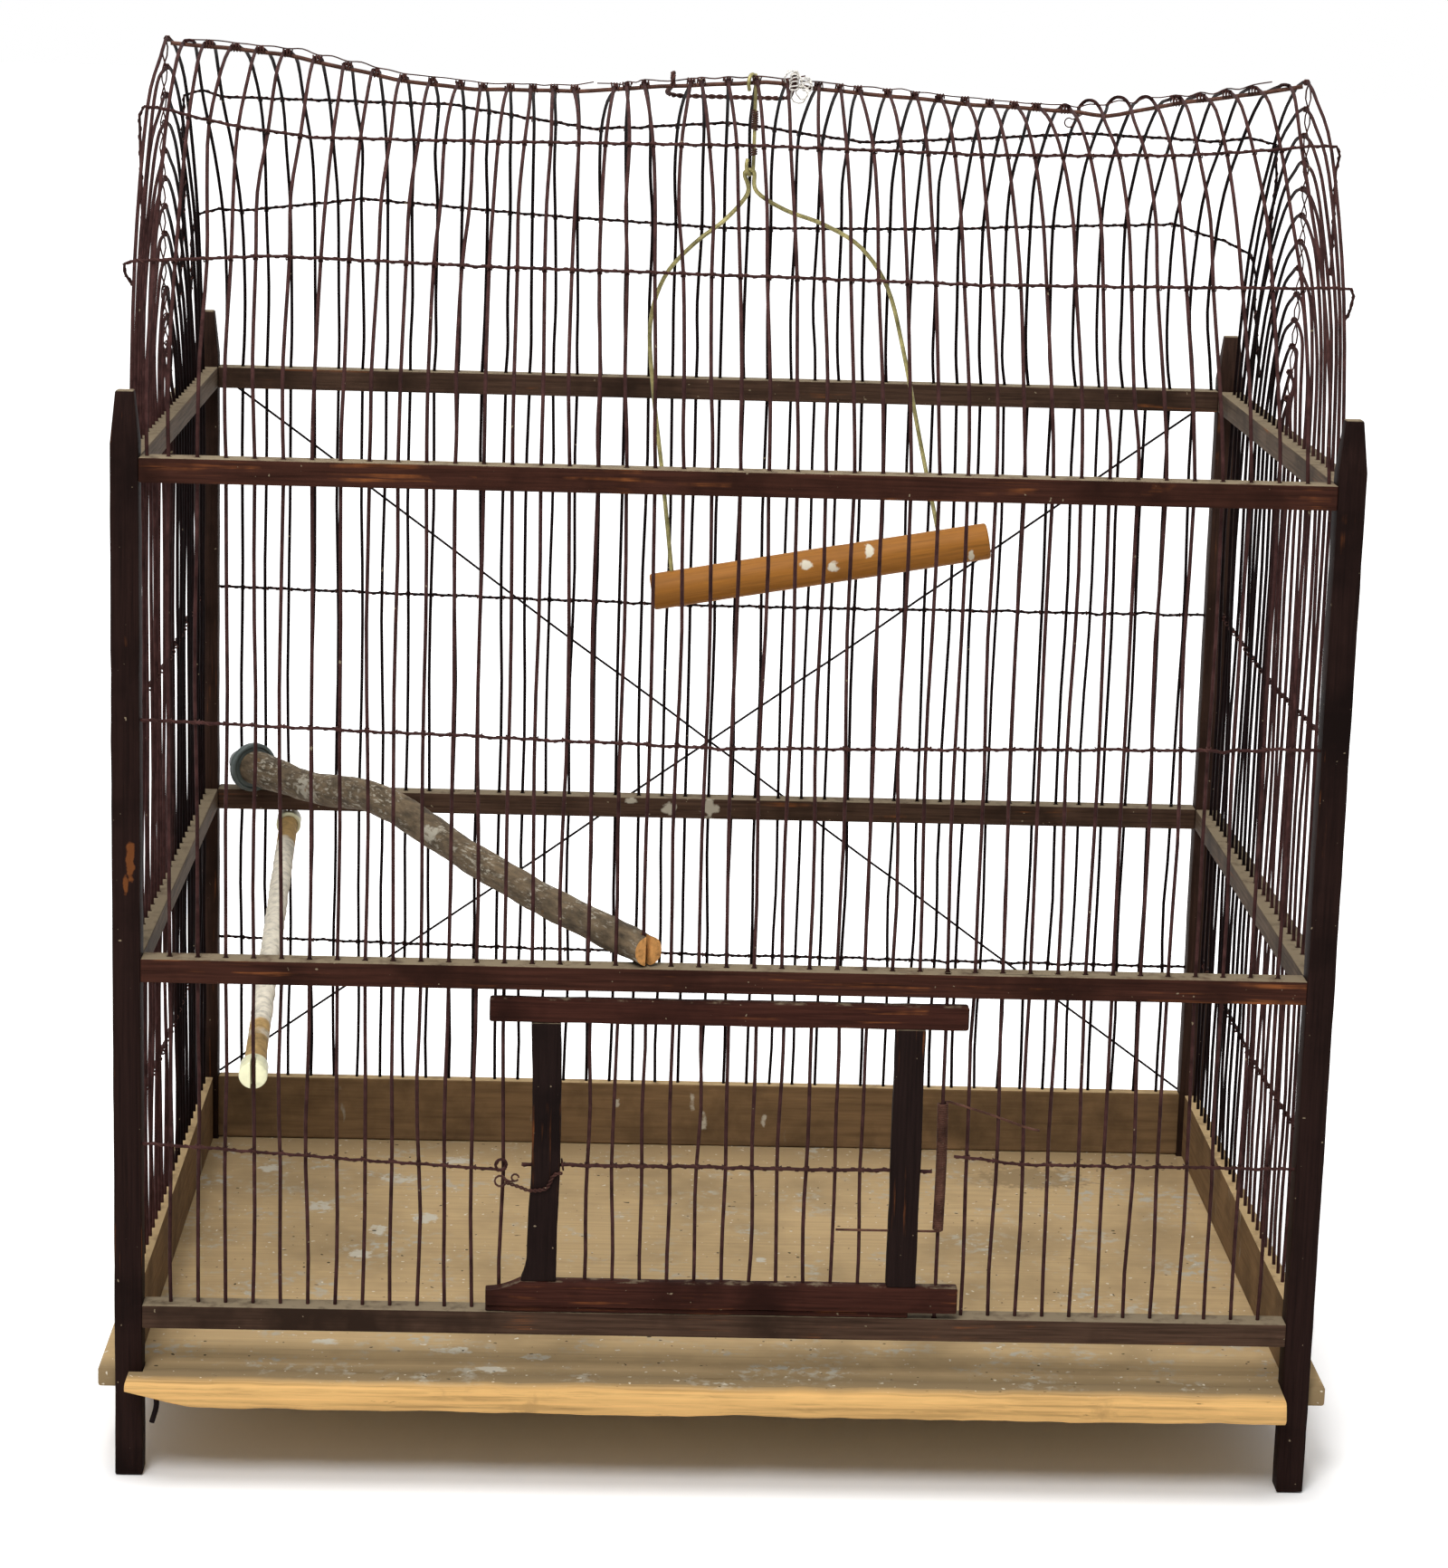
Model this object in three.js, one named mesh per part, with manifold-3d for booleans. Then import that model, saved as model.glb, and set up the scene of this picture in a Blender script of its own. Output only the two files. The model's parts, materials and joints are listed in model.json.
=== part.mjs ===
// A wire birdcage: a stained wooden frame of four posts and three tiers of rails, drilled for
// upright wires that run on over an arched roof, with a sprung door, a swing, two perches
// and a wire carrying handle.
// X runs to the right, Y away from the front, Z up. The origin is on the ground, under the
// middle of the floor board; the pieces are drawn from the middle of the frame and moved at the end.
// All lengths are in millimetres. A value whose name ends in SHARES or SHARE is a proportion.

import * as THREE from 'three';
import { mergeVertices } from 'three/addons/utils/BufferGeometryUtils.js';
import Module from 'manifold-3d';

const wasm = await Module();
wasm.setup();

// Wires and their spacing
const WIRE_PITCH = 12;
const FRONT_WIRES = 41;
const SIDE_WIRES = 26;
const WIRE = 1.5;
const GAP = 0.3;

// Frame
const POST = 12;
const POST_HEIGHT = 480;
const POST_TIP_HEIGHT = 22;
const POST_TIP_WIDTH = 7.5;
const POST_OVER_RAIL = 5.5;
const RAIL_HEIGHT = 10.5;
const BOTTOM_RAIL_TOP = 79;
const MID_RAIL_TOP = 236;
const BOARD_TOP = 82;
const BOARD_THICKNESS = 7;

// Floor
const FLOOR_TOP = 48.5;
const FLOOR_THICKNESS = 9;
const FLOOR_SIDE_OVERHANG = 8;
const FLOOR_FRONT_OVERHANG = 16;
const FLOOR_BACK_OVERHANG = 7;
const FLOOR_CORNER_SETBACK = 4;
const FLOOR_NOSE = 3;
const NAIL = 2.4;
const NAIL_LENGTH = 12;
const NAIL_INSET = 7;

// Roof
const RIDGE_RISE = 166.5;
const RIDGE_ROD = 1.8;
const LOWEST_ARCH_RISE = 16.5;
const CROSS_WIRE = 1.3;
const BRACE_WIRE = 0.9;
// The wire wound along the ridge is broken before each of these front wires
const RIDGE_BREAKS = [15, 23];

// Door
const DOOR_FIRST_WIRE = 13;
const DOOR_LAST_WIRE = 28;
const DOOR_BAR_DEPTH = 7;
const DOOR_UNDER_RAIL = 3.5;
const DOOR_TOP_BAR_HEIGHT = 10.5;
const DOOR_BOTTOM_BAR_HEIGHT = 12;
const DOOR_BAR_LEFT_LAP = 6;
const DOOR_BAR_RIGHT_LAP = 9.5;
const STILE = 13;
const LEFT_STILE_FROM_EDGE = 18;
const RIGHT_STILE_FROM_HINGE = 9;
const DOOR_WIRES = 11;
const DOOR_CROSS_HEIGHT = 146.5;
const DOOR_CROSS_OVERRUN = 3;
const SILL_HEIGHT = 2.4;
const SILL_SHORT_OF_HINGE = 12;
const WORN_CORNER_LENGTH = 13;
const WORN_CORNER_DEPTH = 7;
const PIN_IN_MID_RAIL = 7;
const PIN_IN_BOTTOM_RAIL = 8;

// Door spring
const SPRING_WIRE = 0.9;
const SPRING_RADIUS = 2.15;
const SPRING_PLACE_SHARE = 0.4621;
const SPRING_LENGTH = 57.6;
const SPRING_CURLS = 36;
const CURL_STEPS = 8;
const SPRING_LOWER_ARM = 45;
const SPRING_UPPER_ARM = 43;
const SPRING_UPPER_ARM_DROP = 12;
const SPRING_CLEARANCE = 0.05;

// Door link
const LINK_WIRE = 1.2;
const LINK_RING = 2.1;
const LINK_FROM_STILE = 2;
const LINK_SAG = 7;
const LINK_EYE = 2.6;

// Carrying handle
const HANDLE_WIRE = 2.4;
const HANDLE_RING = 4.5;
const HANDLE_LEFT_AFTER_WIRE = 17;
const HANDLE_RIGHT_AFTER_WIRE = 21;
const HANDLE_REACH = 46;
const HANDLE_BOW = 6;
const HANDLE_OVER_ROOF = 2.03;

// Swing
const HOOK_WIRE = 1.8;
const HOOK_RING = 4.2;
const HOOK_AFTER_WIRE = 20;
const SWING_PIVOT_DROP = 54;
const SWING_WIRE = 2;
const SWING_HALF_WIDTH = 63.5;
const SWING_DROP = 184;
const SWING_TILT = THREE.MathUtils.degToRad(10.1);
const SWING_BAR = 17;
const SWING_BAR_OVERHANG = 16;
const SWING_BAR_OFFSET = 6;

// Branch perch, between two wires of the back and front walls
const BRANCH_BACK_WIRE = 0;
const BRANCH_FRONT_WIRE = 17;
const BRANCH_RADIUS = 6.9;
const BRANCH_CAP_RADIUS = 12.5;
const BRANCH_CAP_THICKNESS = 4;
const BRANCH_HUB_RADIUS = 7;
const BRANCH_HUB_LENGTH = 10.5;
const PERCH_END_OVERRUN = 4;
const SLOT_SLACK = 0.5;

// Dowel perch, between two other wires
const DOWEL_BACK_WIRE = 2;
const DOWEL_FRONT_WIRE = 3;
const DOWEL = 9.5;
const DOWEL_UNDER_RAIL = 0.75;
const DOWEL_OVER_CROSS = 26.18;
const DOWEL_CAP = 12.5;
const DOWEL_CAP_LENGTH = 11;
const DOWEL_CAP_FLOOR = 2.5;

// One length by which every cutter runs past the face that it cuts
const OVERRUN = 5;

// Sizes that follow from those above
const HALF_WIRE = WIRE / 2;
const HOLE_HALF = HALF_WIRE + GAP;
const INNER_HALF_WIDTH = WIRE_PITCH * (FRONT_WIRES + 1) / 2;
const INNER_HALF_DEPTH = WIRE_PITCH * (SIDE_WIRES + 1) / 2;
const HALF_WIDTH = INNER_HALF_WIDTH + POST;
const HALF_DEPTH = INNER_HALF_DEPTH + POST;
const WALL_X = INNER_HALF_WIDTH + POST / 2;
const WALL_Y = INNER_HALF_DEPTH + POST / 2;
const TOP_RAIL_TOP = POST_HEIGHT - POST_TIP_HEIGHT - POST_OVER_RAIL;
const WALL_TOP = TOP_RAIL_TOP;
const CROSS_SETOUT = HALF_WIRE + GAP + CROSS_WIRE / 2;
const HINGE_SETOUT = HALF_WIRE + SPRING_CLEARANCE + SPRING_WIRE / 2 + SPRING_RADIUS;

// Sides of the round pieces, and steps of a full ring and of the open rings of bent wire
const PERCH_SIDES = 12;
const BRANCH_SIDES = 8;
const WIRE_SIDES = 6;
const THIN_WIRE_SIDES = 5;
const DISC_SIDES = 16;
const PIN_SIDES = 8;
const RING_STEPS = 8;
const RING_STEP = 2 * Math.PI / RING_STEPS;
const OPEN_RING_STEPS = 6;
const HOOK_STEPS = 5;

// The roof's shape: shares of the half depth and of the rise, from the wall to the ridge
const ROOF_BEND_SHARES = [[0.935, 0.255], [0.78, 0.5], [0.465, 0.845]];
const GABLE_BEND_SHARES = [[0.85, 0.46], [0.5, 0.83]];
// Shares of the half width and of the rise, by which the old ridge sags along its length
const RIDGE_SAG_SHARES = [
  [-1, 0], [-0.8, 0.026], [-0.6, 0.084], [-0.45, 0.103], [-0.28, 0.102], [-0.1, 0.076],
  [0.03, 0.065], [0.25, 0.086], [0.45, 0.112], [0.63, 0.127], [0.78, 0.088], [1, 0.034],
];
// Roof wires' ends, down over the gables: shares of the half depth and of the rise
const FRONT_UPPER_END_SHARES = [[0.45, 0.72]];
const FRONT_LOWER_END_SHARES = [[0.6, 0.41]];
const BACK_UPPER_END_SHARES = [[0.48, 0.56], [0.33, 0.24]];
const BACK_LOWER_END_SHARES = [[0.68, 0.3], [0.52, 0.1]];
// Cross wires of the walls: shares of their storey's height at the start, middle and end
const HIGH_WIRE_SHARES = {
  front: [0.48, 0.448, 0.47], back: [0.48, 0.46, 0.465],
  left: [0.47, 0.45, 0.48], right: [0.47, 0.45, 0.475],
};
const LOW_WIRE_SHARES = {
  back: [0.48, 0.45, 0.44], left: [0.47, 0.45, 0.48], right: [0.48, 0.45, 0.48],
};
// The lower front wires beside the door: from the left post to the eye, and on to the right post
const LEFT_OF_DOOR_SHARES = [0.455, 0.4, 0.41];
const RIGHT_OF_DOOR_SHARES = [0.46, 0.44, 0.44];
const WIRES_TO_BEND = 3;
// The handle's sides, from the ridge out: shares of the bow inward and of the reach
const HANDLE_LEFT_SHARES = [[0, 0.2], [-0.33, 0.74], [0, 0.935], [1, 1]];
const HANDLE_RIGHT_SHARES = [[0, 0.2], [0, 0.74], [0, 0.935], [1, 1]];
// The swing wire's arm: shares of the half width and of the drop, from its top bend down
const SWING_ARM_SHARES = [
  [0.035, 0.045], [0.22, 0.1], [0.48, 0.15], [0.72, 0.22], [0.87, 0.33], [0.92, 0.49],
  [0.95, 0.72], [1, 1.02],
];
// The branch: shares of its length, of its lift over a straight line and of its girth
const BRANCH_LIFT = 9.5;
const BRANCH_SHARES = [
  [0, 0, 1.2], [0.1, 0.15, 1.16], [0.2, 0.4, 1.12], [0.3, 0.9, 1.12], [0.38, 1, 1.08],
  [0.48, 0.75, 1.05], [0.62, 0.35, 1.04], [0.8, 0.08, 1.02], [1, 0, 1],
];

const stainedWood = { color: 0x3a1a14, roughness: 0.55, metalness: 0 };
const bareWood = { color: 0x8a7a62, roughness: 0.85, metalness: 0 };
const rustyWire = { color: 0x4a3234, roughness: 0.6, metalness: 0.6 };
const paleWire = { color: 0x8f8a5c, roughness: 0.45, metalness: 0.8 };
const beech = { color: 0xc98545, roughness: 0.6, metalness: 0 };
const bark = { color: 0x6f675a, roughness: 0.9, metalness: 0 };
const creamPlastic = { color: 0xf1edc0, roughness: 0.45, metalness: 0 };
const greyPlastic = { color: 0x7d8783, roughness: 0.45, metalness: 0 };

const cage = new THREE.Group();

function addPart(name, geometry, finish, parent = cage) {
  const mesh = new THREE.Mesh(geometry, new THREE.MeshStandardMaterial(finish));
  mesh.name = name;
  parent.add(mesh);
  return mesh;
}

// A closed surface put together from rings of points and the bands between them
class Skin {
  constructor() {
    this.corners = [];
  }

  triangle(a, b, c) {
    this.corners.push(...a, ...b, ...c);
  }

  quad(a, b, c, d) {
    this.triangle(a, b, c);
    this.triangle(a, c, d);
  }

  // The side faces from one ring to the next, without those that are listed as open
  band(ring, next, open = []) {
    ring.forEach((point, i) => {
      const j = (i + 1) % ring.length;
      if (!open.includes(i)) this.quad(point, ring[j], next[j], next[i]);
    });
  }

  cap(ring) {
    for (let i = 1; i < ring.length - 1; i += 1) this.triangle(ring[0], ring[i], ring[i + 1]);
  }

  startCap(ring) {
    this.cap([...ring].reverse());
  }

  geometry() {
    const geometry = new THREE.BufferGeometry();
    geometry.setAttribute('position', new THREE.Float32BufferAttribute(this.corners, 3));
    return mergeVertices(geometry);
  }
}

function boxBetween(low, high) {
  const size = high.map((value, i) => value - low[i]);
  const geometry = new THREE.BoxGeometry(...size);
  geometry.translate(...high.map((value, i) => (value + low[i]) / 2));
  return geometry;
}

function solid(geometry) {
  const bare = geometry.clone();
  bare.deleteAttribute('normal');
  bare.deleteAttribute('uv');
  const merged = mergeVertices(bare);
  const count = merged.attributes.position.count;
  const corners = merged.index ? merged.index.array : [...Array(count).keys()];
  return new wasm.Manifold(new wasm.Mesh({
    numProp: 3,
    vertProperties: new Float32Array(merged.attributes.position.array),
    triVerts: new Uint32Array(corners),
  }));
}

function surface(body) {
  const mesh = body.getMesh();
  const geometry = new THREE.BufferGeometry();
  geometry.setAttribute('position', new THREE.BufferAttribute(mesh.vertProperties, 3));
  geometry.setIndex(new THREE.BufferAttribute(mesh.triVerts, 1));
  return geometry;
}

function cut(geometry, tools) {
  return surface(tools.reduce((body, tool) => body.subtract(solid(tool)), solid(geometry)));
}

function join(geometry, others) {
  return surface(others.reduce((body, other) => body.add(solid(other)), solid(geometry)));
}

// A round tube along points, with square ends; radius is one value, or one for each point
function tube(points, radius, sides) {
  const path = points.map((point) => new THREE.Vector3(...point));
  const radii = Array.isArray(radius) ? radius : path.map(() => radius);
  const legs = path.slice(1).map((point, i) => point.clone().sub(path[i]).normalize());
  const skin = new Skin();
  let side = null;
  let previous = null;
  path.forEach((point, i) => {
    const before = legs[Math.max(i - 1, 0)];
    const after = legs[Math.min(i, legs.length - 1)];
    const ahead = before.clone().add(after).normalize();
    if (!side) {
      const upright = Math.abs(ahead.z) > Math.SQRT1_2;
      side = upright ? new THREE.Vector3(1, 0, 0) : new THREE.Vector3(0, 0, 1);
    }
    side.addScaledVector(ahead, -side.dot(ahead)).normalize();
    const other = ahead.clone().cross(side);
    const ring = Array.from({ length: sides }, (_, k) => {
      const angle = (k + 1 / 2) * 2 * Math.PI / sides;
      return point.clone()
        .addScaledVector(side, radii[i] * Math.cos(angle))
        .addScaledVector(other, radii[i] * Math.sin(angle))
        .toArray();
    });
    if (previous) skin.band(previous, ring);
    else skin.startCap(ring);
    previous = ring;
  });
  skin.cap(previous);
  return skin.geometry();
}

// The corner distance of a square wire whose sides are as wide as the wire
function squareRadius(width) {
  return width * Math.SQRT1_2;
}

function squareWire(points, width) {
  return tube(points, squareRadius(width), 4);
}

// A flat outline in X and Y, raised from one height to another
function plate(outline, low, high) {
  const shape = new THREE.Shape(outline.map((point) => new THREE.Vector2(...point)));
  const geometry = new THREE.ExtrudeGeometry(shape, { depth: high - low, bevelEnabled: false });
  geometry.translate(0, 0, low);
  return geometry;
}

function rectangle(left, right, near, far) {
  return [[left, near], [right, near], [right, far], [left, far]];
}

function squareHole(x, y) {
  return rectangle(x - HOLE_HALF, x + HOLE_HALF, y - HOLE_HALF, y + HOLE_HALF);
}

function frontWireX(index) {
  return (index + 1) * WIRE_PITCH - INNER_HALF_WIDTH;
}

function sideWireY(index) {
  return (index + 1) * WIRE_PITCH - INNER_HALF_DEPTH;
}

const frontWirePlaces = Array.from({ length: FRONT_WIRES }, (_, i) => frontWireX(i));
const sideWirePlaces = Array.from({ length: SIDE_WIRES }, (_, i) => sideWireY(i));
const hingeX = frontWireX(DOOR_LAST_WIRE);
const hingeY = -WALL_Y - HINGE_SETOUT;
const handleLeft = frontWireX(HANDLE_LEFT_AFTER_WIRE) + WIRE_PITCH / 2;
const handleRight = frontWireX(HANDLE_RIGHT_AFTER_WIRE) + WIRE_PITCH / 2;
const hookX = frontWireX(HOOK_AFTER_WIRE) + WIRE_PITCH / 2;

// Places along the ridge, each at a gable or at a front wire, and its rise over the wall tops
const ridgePoints = RIDGE_SAG_SHARES.map(([share, sag]) => {
  const wire = Math.round((share * WALL_X + INNER_HALF_WIDTH) / WIRE_PITCH - 1);
  const x = Math.abs(share) === 1 ? share * WALL_X : frontWireX(wire);
  return [x, RIDGE_RISE * (1 - sag)];
});

function ridgeRise(x) {
  const after = ridgePoints.findIndex(([place]) => place > x);
  const next = after < 1 ? (x < 0 ? 1 : ridgePoints.length - 1) : after;
  const [from, fromRise] = ridgePoints[next - 1];
  const [to, toRise] = ridgePoints[next];
  return fromRise + (toRise - fromRise) * (x - from) / (to - from);
}

// Posts with tapered tips
function addPosts() {
  const shoulder = POST_HEIGHT - POST_TIP_HEIGHT;
  const square = (x, y, width, z) =>
    rectangle(x - width / 2, x + width / 2, y - width / 2, y + width / 2).map((p) => [...p, z]);
  const corners = [['front', 'left', -1, -1], ['front', 'right', 1, -1], ['back', 'left', -1, 1],
    ['back', 'right', 1, 1]];
  corners.forEach(([depthName, sideName, sideX, sideY]) => {
    const x = sideX * WALL_X;
    const y = sideY * WALL_Y;
    const skin = new Skin();
    const foot = square(x, y, POST, 0);
    const neck = square(x, y, POST, shoulder);
    const tip = square(x, y, POST_TIP_WIDTH, POST_HEIGHT);
    skin.startCap(foot);
    skin.band(foot, neck);
    skin.band(neck, tip);
    skin.cap(tip);
    addPart(`post_${depthName}_${sideName}`, skin.geometry(), stainedWood);
  });
}

// A square cutter that drills through everything between two heights
function drill([x, y], low, high) {
  return boxBetween(
    [x - HOLE_HALF, y - HOLE_HALF, low - OVERRUN],
    [x + HOLE_HALF, y + HOLE_HALF, high + OVERRUN]);
}

// A level bar drilled down through at the listed places
function drilledBar(low, high, places) {
  return cut(boxBetween(low, high), places.map((place) => drill(place, low[2], high[2])));
}

// Top and middle rails, drilled through for every wire
function addRails() {
  const tiers = [['top', TOP_RAIL_TOP], ['mid', MID_RAIL_TOP]];
  tiers.forEach(([tier, top]) => {
    const bottom = top - RAIL_HEIGHT;
    [['front', -1], ['back', 1]].forEach(([place, side]) => {
      const y = side * WALL_Y;
      const holes = frontWirePlaces.map((x) => [x, y]);
      if (tier === 'mid' && place === 'front') holes.push([hingeX, hingeY]);
      addPart(`${tier}_rail_${place}`, drilledBar(
        [-INNER_HALF_WIDTH, y - POST / 2, bottom],
        [INNER_HALF_WIDTH, y + POST / 2, top], holes), stainedWood);
    });
    [['left', -1], ['right', 1]].forEach(([place, side]) => {
      const x = side * WALL_X;
      const holes = sideWirePlaces.map((y) => [x, y]);
      addPart(`${tier}_rail_${place}`, drilledBar(
        [x - POST / 2, -INNER_HALF_DEPTH, bottom],
        [x + POST / 2, INNER_HALF_DEPTH, top], holes), stainedWood);
    });
  });
  addPart('bottom_rail_front', drilledBar(
    [-INNER_HALF_WIDTH, -HALF_DEPTH, BOTTOM_RAIL_TOP - RAIL_HEIGHT],
    [INNER_HALF_WIDTH, -INNER_HALF_DEPTH, BOTTOM_RAIL_TOP], [[hingeX, hingeY]]), stainedWood);
}

// Tall boards round the foot of the back and sides, which stand on the floor
function addBoards() {
  const half = BOARD_THICKNESS / 2;
  const bottom = FLOOR_TOP + GAP;
  addPart('bottom_board_back', boxBetween(
    [-INNER_HALF_WIDTH, WALL_Y - half, bottom], [INNER_HALF_WIDTH, WALL_Y + half, BOARD_TOP]), bareWood);
  [['left', -1], ['right', 1]].forEach(([place, side]) => {
    const x = side * WALL_X;
    addPart(`bottom_board_${place}`, boxBetween(
      [x - half, -INNER_HALF_DEPTH, bottom], [x + half, INNER_HALF_DEPTH, BOARD_TOP]), bareWood);
  });
}

// The floor board: wider than the frame, notched round the posts, with a rounded front lip
function addFloor() {
  const bottom = FLOOR_TOP - FLOOR_THICKNESS;
  const side = HALF_WIDTH + FLOOR_SIDE_OVERHANG;
  const front = -HALF_DEPTH - FLOOR_FRONT_OVERHANG;
  const back = HALF_DEPTH + FLOOR_BACK_OVERHANG;
  const corner = HALF_DEPTH - FLOOR_CORNER_SETBACK;
  const outer = HALF_WIDTH + GAP;
  const inner = INNER_HALF_WIDTH - GAP;
  const deep = INNER_HALF_DEPTH - GAP;
  const lipLeft = -WALL_X;
  const lipBack = -HALF_DEPTH - GAP;
  const outline = [
    [-side, -corner], [-outer, -corner], [-outer, -deep], [-inner, -deep], [-inner, lipBack],
    [lipLeft, lipBack], [lipLeft, front], [inner, front], [inner, -deep], [outer, -deep],
    [outer, -corner], [side, -corner], [side, corner], [outer, corner], [outer, deep],
    [inner, deep], [inner, back], [-inner, back], [-inner, deep], [-outer, deep],
    [-outer, corner], [-side, corner],
  ];
  const nose = (height, direction) => {
    const skin = new Skin();
    const past = [lipLeft - OVERRUN, inner + OVERRUN];
    const ends = past.map((x) => [
      [x, front, height - direction * FLOOR_NOSE],
      [x, front - OVERRUN, height - direction * FLOOR_NOSE],
      [x, front - OVERRUN, height + direction * OVERRUN],
      [x, front, height + direction * OVERRUN],
      [x, front + FLOOR_NOSE, height],
    ]);
    const [left, right] = direction > 0 ? [ends[0].reverse(), ends[1].reverse()] : ends;
    skin.startCap(left);
    skin.band(left, right);
    skin.cap(right);
    return skin.geometry();
  };
  const board = plate(outline, bottom, FLOOR_TOP);
  addPart('floor_board', cut(board, [nose(FLOOR_TOP, 1), nose(bottom, -1)]), bareWood);

  const nailX = -INNER_HALF_WIDTH + NAIL_INSET;
  const nailY = -HALF_DEPTH - NAIL_INSET;
  const nailTop = bottom - GAP;
  addPart('floor_nail', squareWire(
    [[nailX, nailY, nailTop], [nailX, nailY, nailTop - NAIL_LENGTH]], NAIL), rustyWire);
}

// Rings of a square wire that follows a flat path of [across, up] points in the plane x.
// Each ring lists its corners inner right, inner left, outer left and outer right.
// The two middle points are the ends of the short level crest.
function archRings(path, x) {
  const crest = path.length / 2;
  const legs = path.slice(1).map(([u, v], i) => {
    const [u0, v0] = path[i];
    const length = Math.hypot(u - u0, v - v0);
    return [(u - u0) / length, (v - v0) / length];
  });
  return path.map(([u, v], i) => {
    let outward = [0, 1];
    let reach = 1;
    if (i !== crest && i !== crest - 1) {
      const before = legs[Math.max(i - 1, 0)];
      const after = legs[Math.min(i, legs.length - 1)];
      const middle = [before[0] + after[0], before[1] + after[1]];
      const length = Math.hypot(...middle);
      outward = [-middle[1] / length, middle[0] / length];
      reach = 2 / length;
    }
    const du = outward[0] * reach * HALF_WIRE;
    const dv = outward[1] * reach * HALF_WIRE;
    return [
      [x + HALF_WIRE, u - du, v - dv], [x - HALF_WIRE, u - du, v - dv],
      [x - HALF_WIRE, u + du, v + dv], [x + HALF_WIRE, u + du, v + dv],
    ];
  });
}

// Draws one arched wire and leaves the listed sides of its crest open
function drawArch(skin, rings, openCrest) {
  const crest = rings.length / 2 - 1;
  skin.startCap(rings[0]);
  rings.slice(1).forEach((ring, i) => skin.band(rings[i], ring, i === crest ? openCrest : []));
  skin.cap(rings[rings.length - 1]);
}

// A path up one side, over the crest and down the other
function archPath(halfDepth, rise, bendShares, frontFoot, backFoot) {
  const bends = bendShares.map(([across, up]) => [halfDepth * across, WALL_TOP + rise * up]);
  const top = WALL_TOP + rise;
  return [
    [-halfDepth, frontFoot], [-halfDepth, WALL_TOP], ...bends.map(([y, z]) => [-y, z]),
    [-HALF_WIRE, top], [HALF_WIRE, top],
    ...[...bends].reverse(), [halfDepth, WALL_TOP], [halfDepth, backFoot],
  ];
}

// The hoops of the front wall, roof and back wall. A wire wound along the ridge ties them
// into three groups, because it is broken in two places.
function addHoops() {
  const [second, third] = RIDGE_BREAKS;
  const groups = [
    ['left', 0, second - 1], ['centre', second, third - 1], ['right', third, FRONT_WIRES - 1],
  ];
  const [innerRight, innerLeft, outerLeft, outerRight] = [0, 1, 2, 3];
  const [leftFace, rightFace] = [1, 3];
  groups.forEach(([name, first, last]) => {
    const skin = new Skin();
    let ridgeEnd = null;
    for (let i = first; i <= last; i += 1) {
      const x = frontWireX(i);
      const overDoor = i >= DOOR_FIRST_WIRE && i <= DOOR_LAST_WIRE;
      const frontFoot = overDoor ? MID_RAIL_TOP - RAIL_HEIGHT + WIRE : BOTTOM_RAIL_TOP + GAP;
      const path = archPath(WALL_Y, ridgeRise(x), ROOF_BEND_SHARES, frontFoot, BOARD_TOP + GAP);
      const rings = archRings(path, x);
      const near = rings[rings.length / 2 - 1];
      const far = rings[rings.length / 2];
      const left = [near[innerLeft], far[innerLeft], far[outerLeft], near[outerLeft]];
      const right = [near[innerRight], far[innerRight], far[outerRight], near[outerRight]];
      const open = [];
      if (i > first || i === 0) open.push(leftFace);
      if (i < last || i === FRONT_WIRES - 1) open.push(rightFace);
      drawArch(skin, rings, open);
      const reach = WALL_X - HALF_WIRE - GAP;
      if (i === 0) {
        const end = left.map(([, y, z]) => [-reach, y, z + ridgeRise(-reach) - ridgeRise(x)]);
        skin.startCap(end);
        skin.band(end, left);
      }
      if (ridgeEnd) skin.band(ridgeEnd, left);
      if (i === FRONT_WIRES - 1) {
        const end = right.map(([, y, z]) => [reach, y, z + ridgeRise(reach) - ridgeRise(x)]);
        skin.band(right, end);
        skin.cap(end);
      }
      ridgeEnd = right;
    }
    addPart(`roof_hoops_${name}`, skin.geometry(), rustyWire);
  });
}

// Side wires that run up and over as nested arches, tied down the middle of each gable
function addGables() {
  const [innerRight, innerLeft, outerLeft, outerRight] = [0, 1, 2, 3];
  const [innerFace, outerFace] = [0, 2];
  const arches = SIDE_WIRES / 2;
  [['left', -1], ['right', 1]].forEach(([name, side]) => {
    const x = side * WALL_X;
    const step = (ridgeRise(x) - LOWEST_ARCH_RISE) / (arches - 1);
    const skin = new Skin();
    let above = null;
    for (let j = 0; j < arches; j += 1) {
      const halfDepth = sideWireY(SIDE_WIRES - 1 - j);
      const rise = ridgeRise(x) - j * step;
      const path = archPath(halfDepth, rise, GABLE_BEND_SHARES, BOARD_TOP + GAP, BOARD_TOP + GAP);
      const rings = archRings(path, x);
      const near = rings[rings.length / 2 - 1];
      const far = rings[rings.length / 2];
      const top = [near[outerRight], near[outerLeft], far[outerLeft], far[outerRight]];
      const open = [];
      if (j > 0) open.push(outerFace);
      if (j < arches - 1) open.push(innerFace);
      drawArch(skin, rings, open);
      if (above) skin.band(above, top);
      above = [near[innerRight], near[innerLeft], far[innerLeft], far[innerRight]];
    }
    addPart(`gable_wires_${name}`, skin.geometry(), rustyWire);
  });
}

// The rod under the crests of the hoops
function addRidgeRod() {
  const drop = HALF_WIRE + GAP + RIDGE_ROD / 2;
  const reach = WALL_X - HALF_WIRE - GAP;
  const points = ridgePoints.map(([place]) => {
    const x = THREE.MathUtils.clamp(place, -reach, reach);
    return [x, 0, WALL_TOP + ridgeRise(x) - drop];
  });
  addPart('ridge_rod', squareWire(points, RIDGE_ROD), rustyWire);
}

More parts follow.
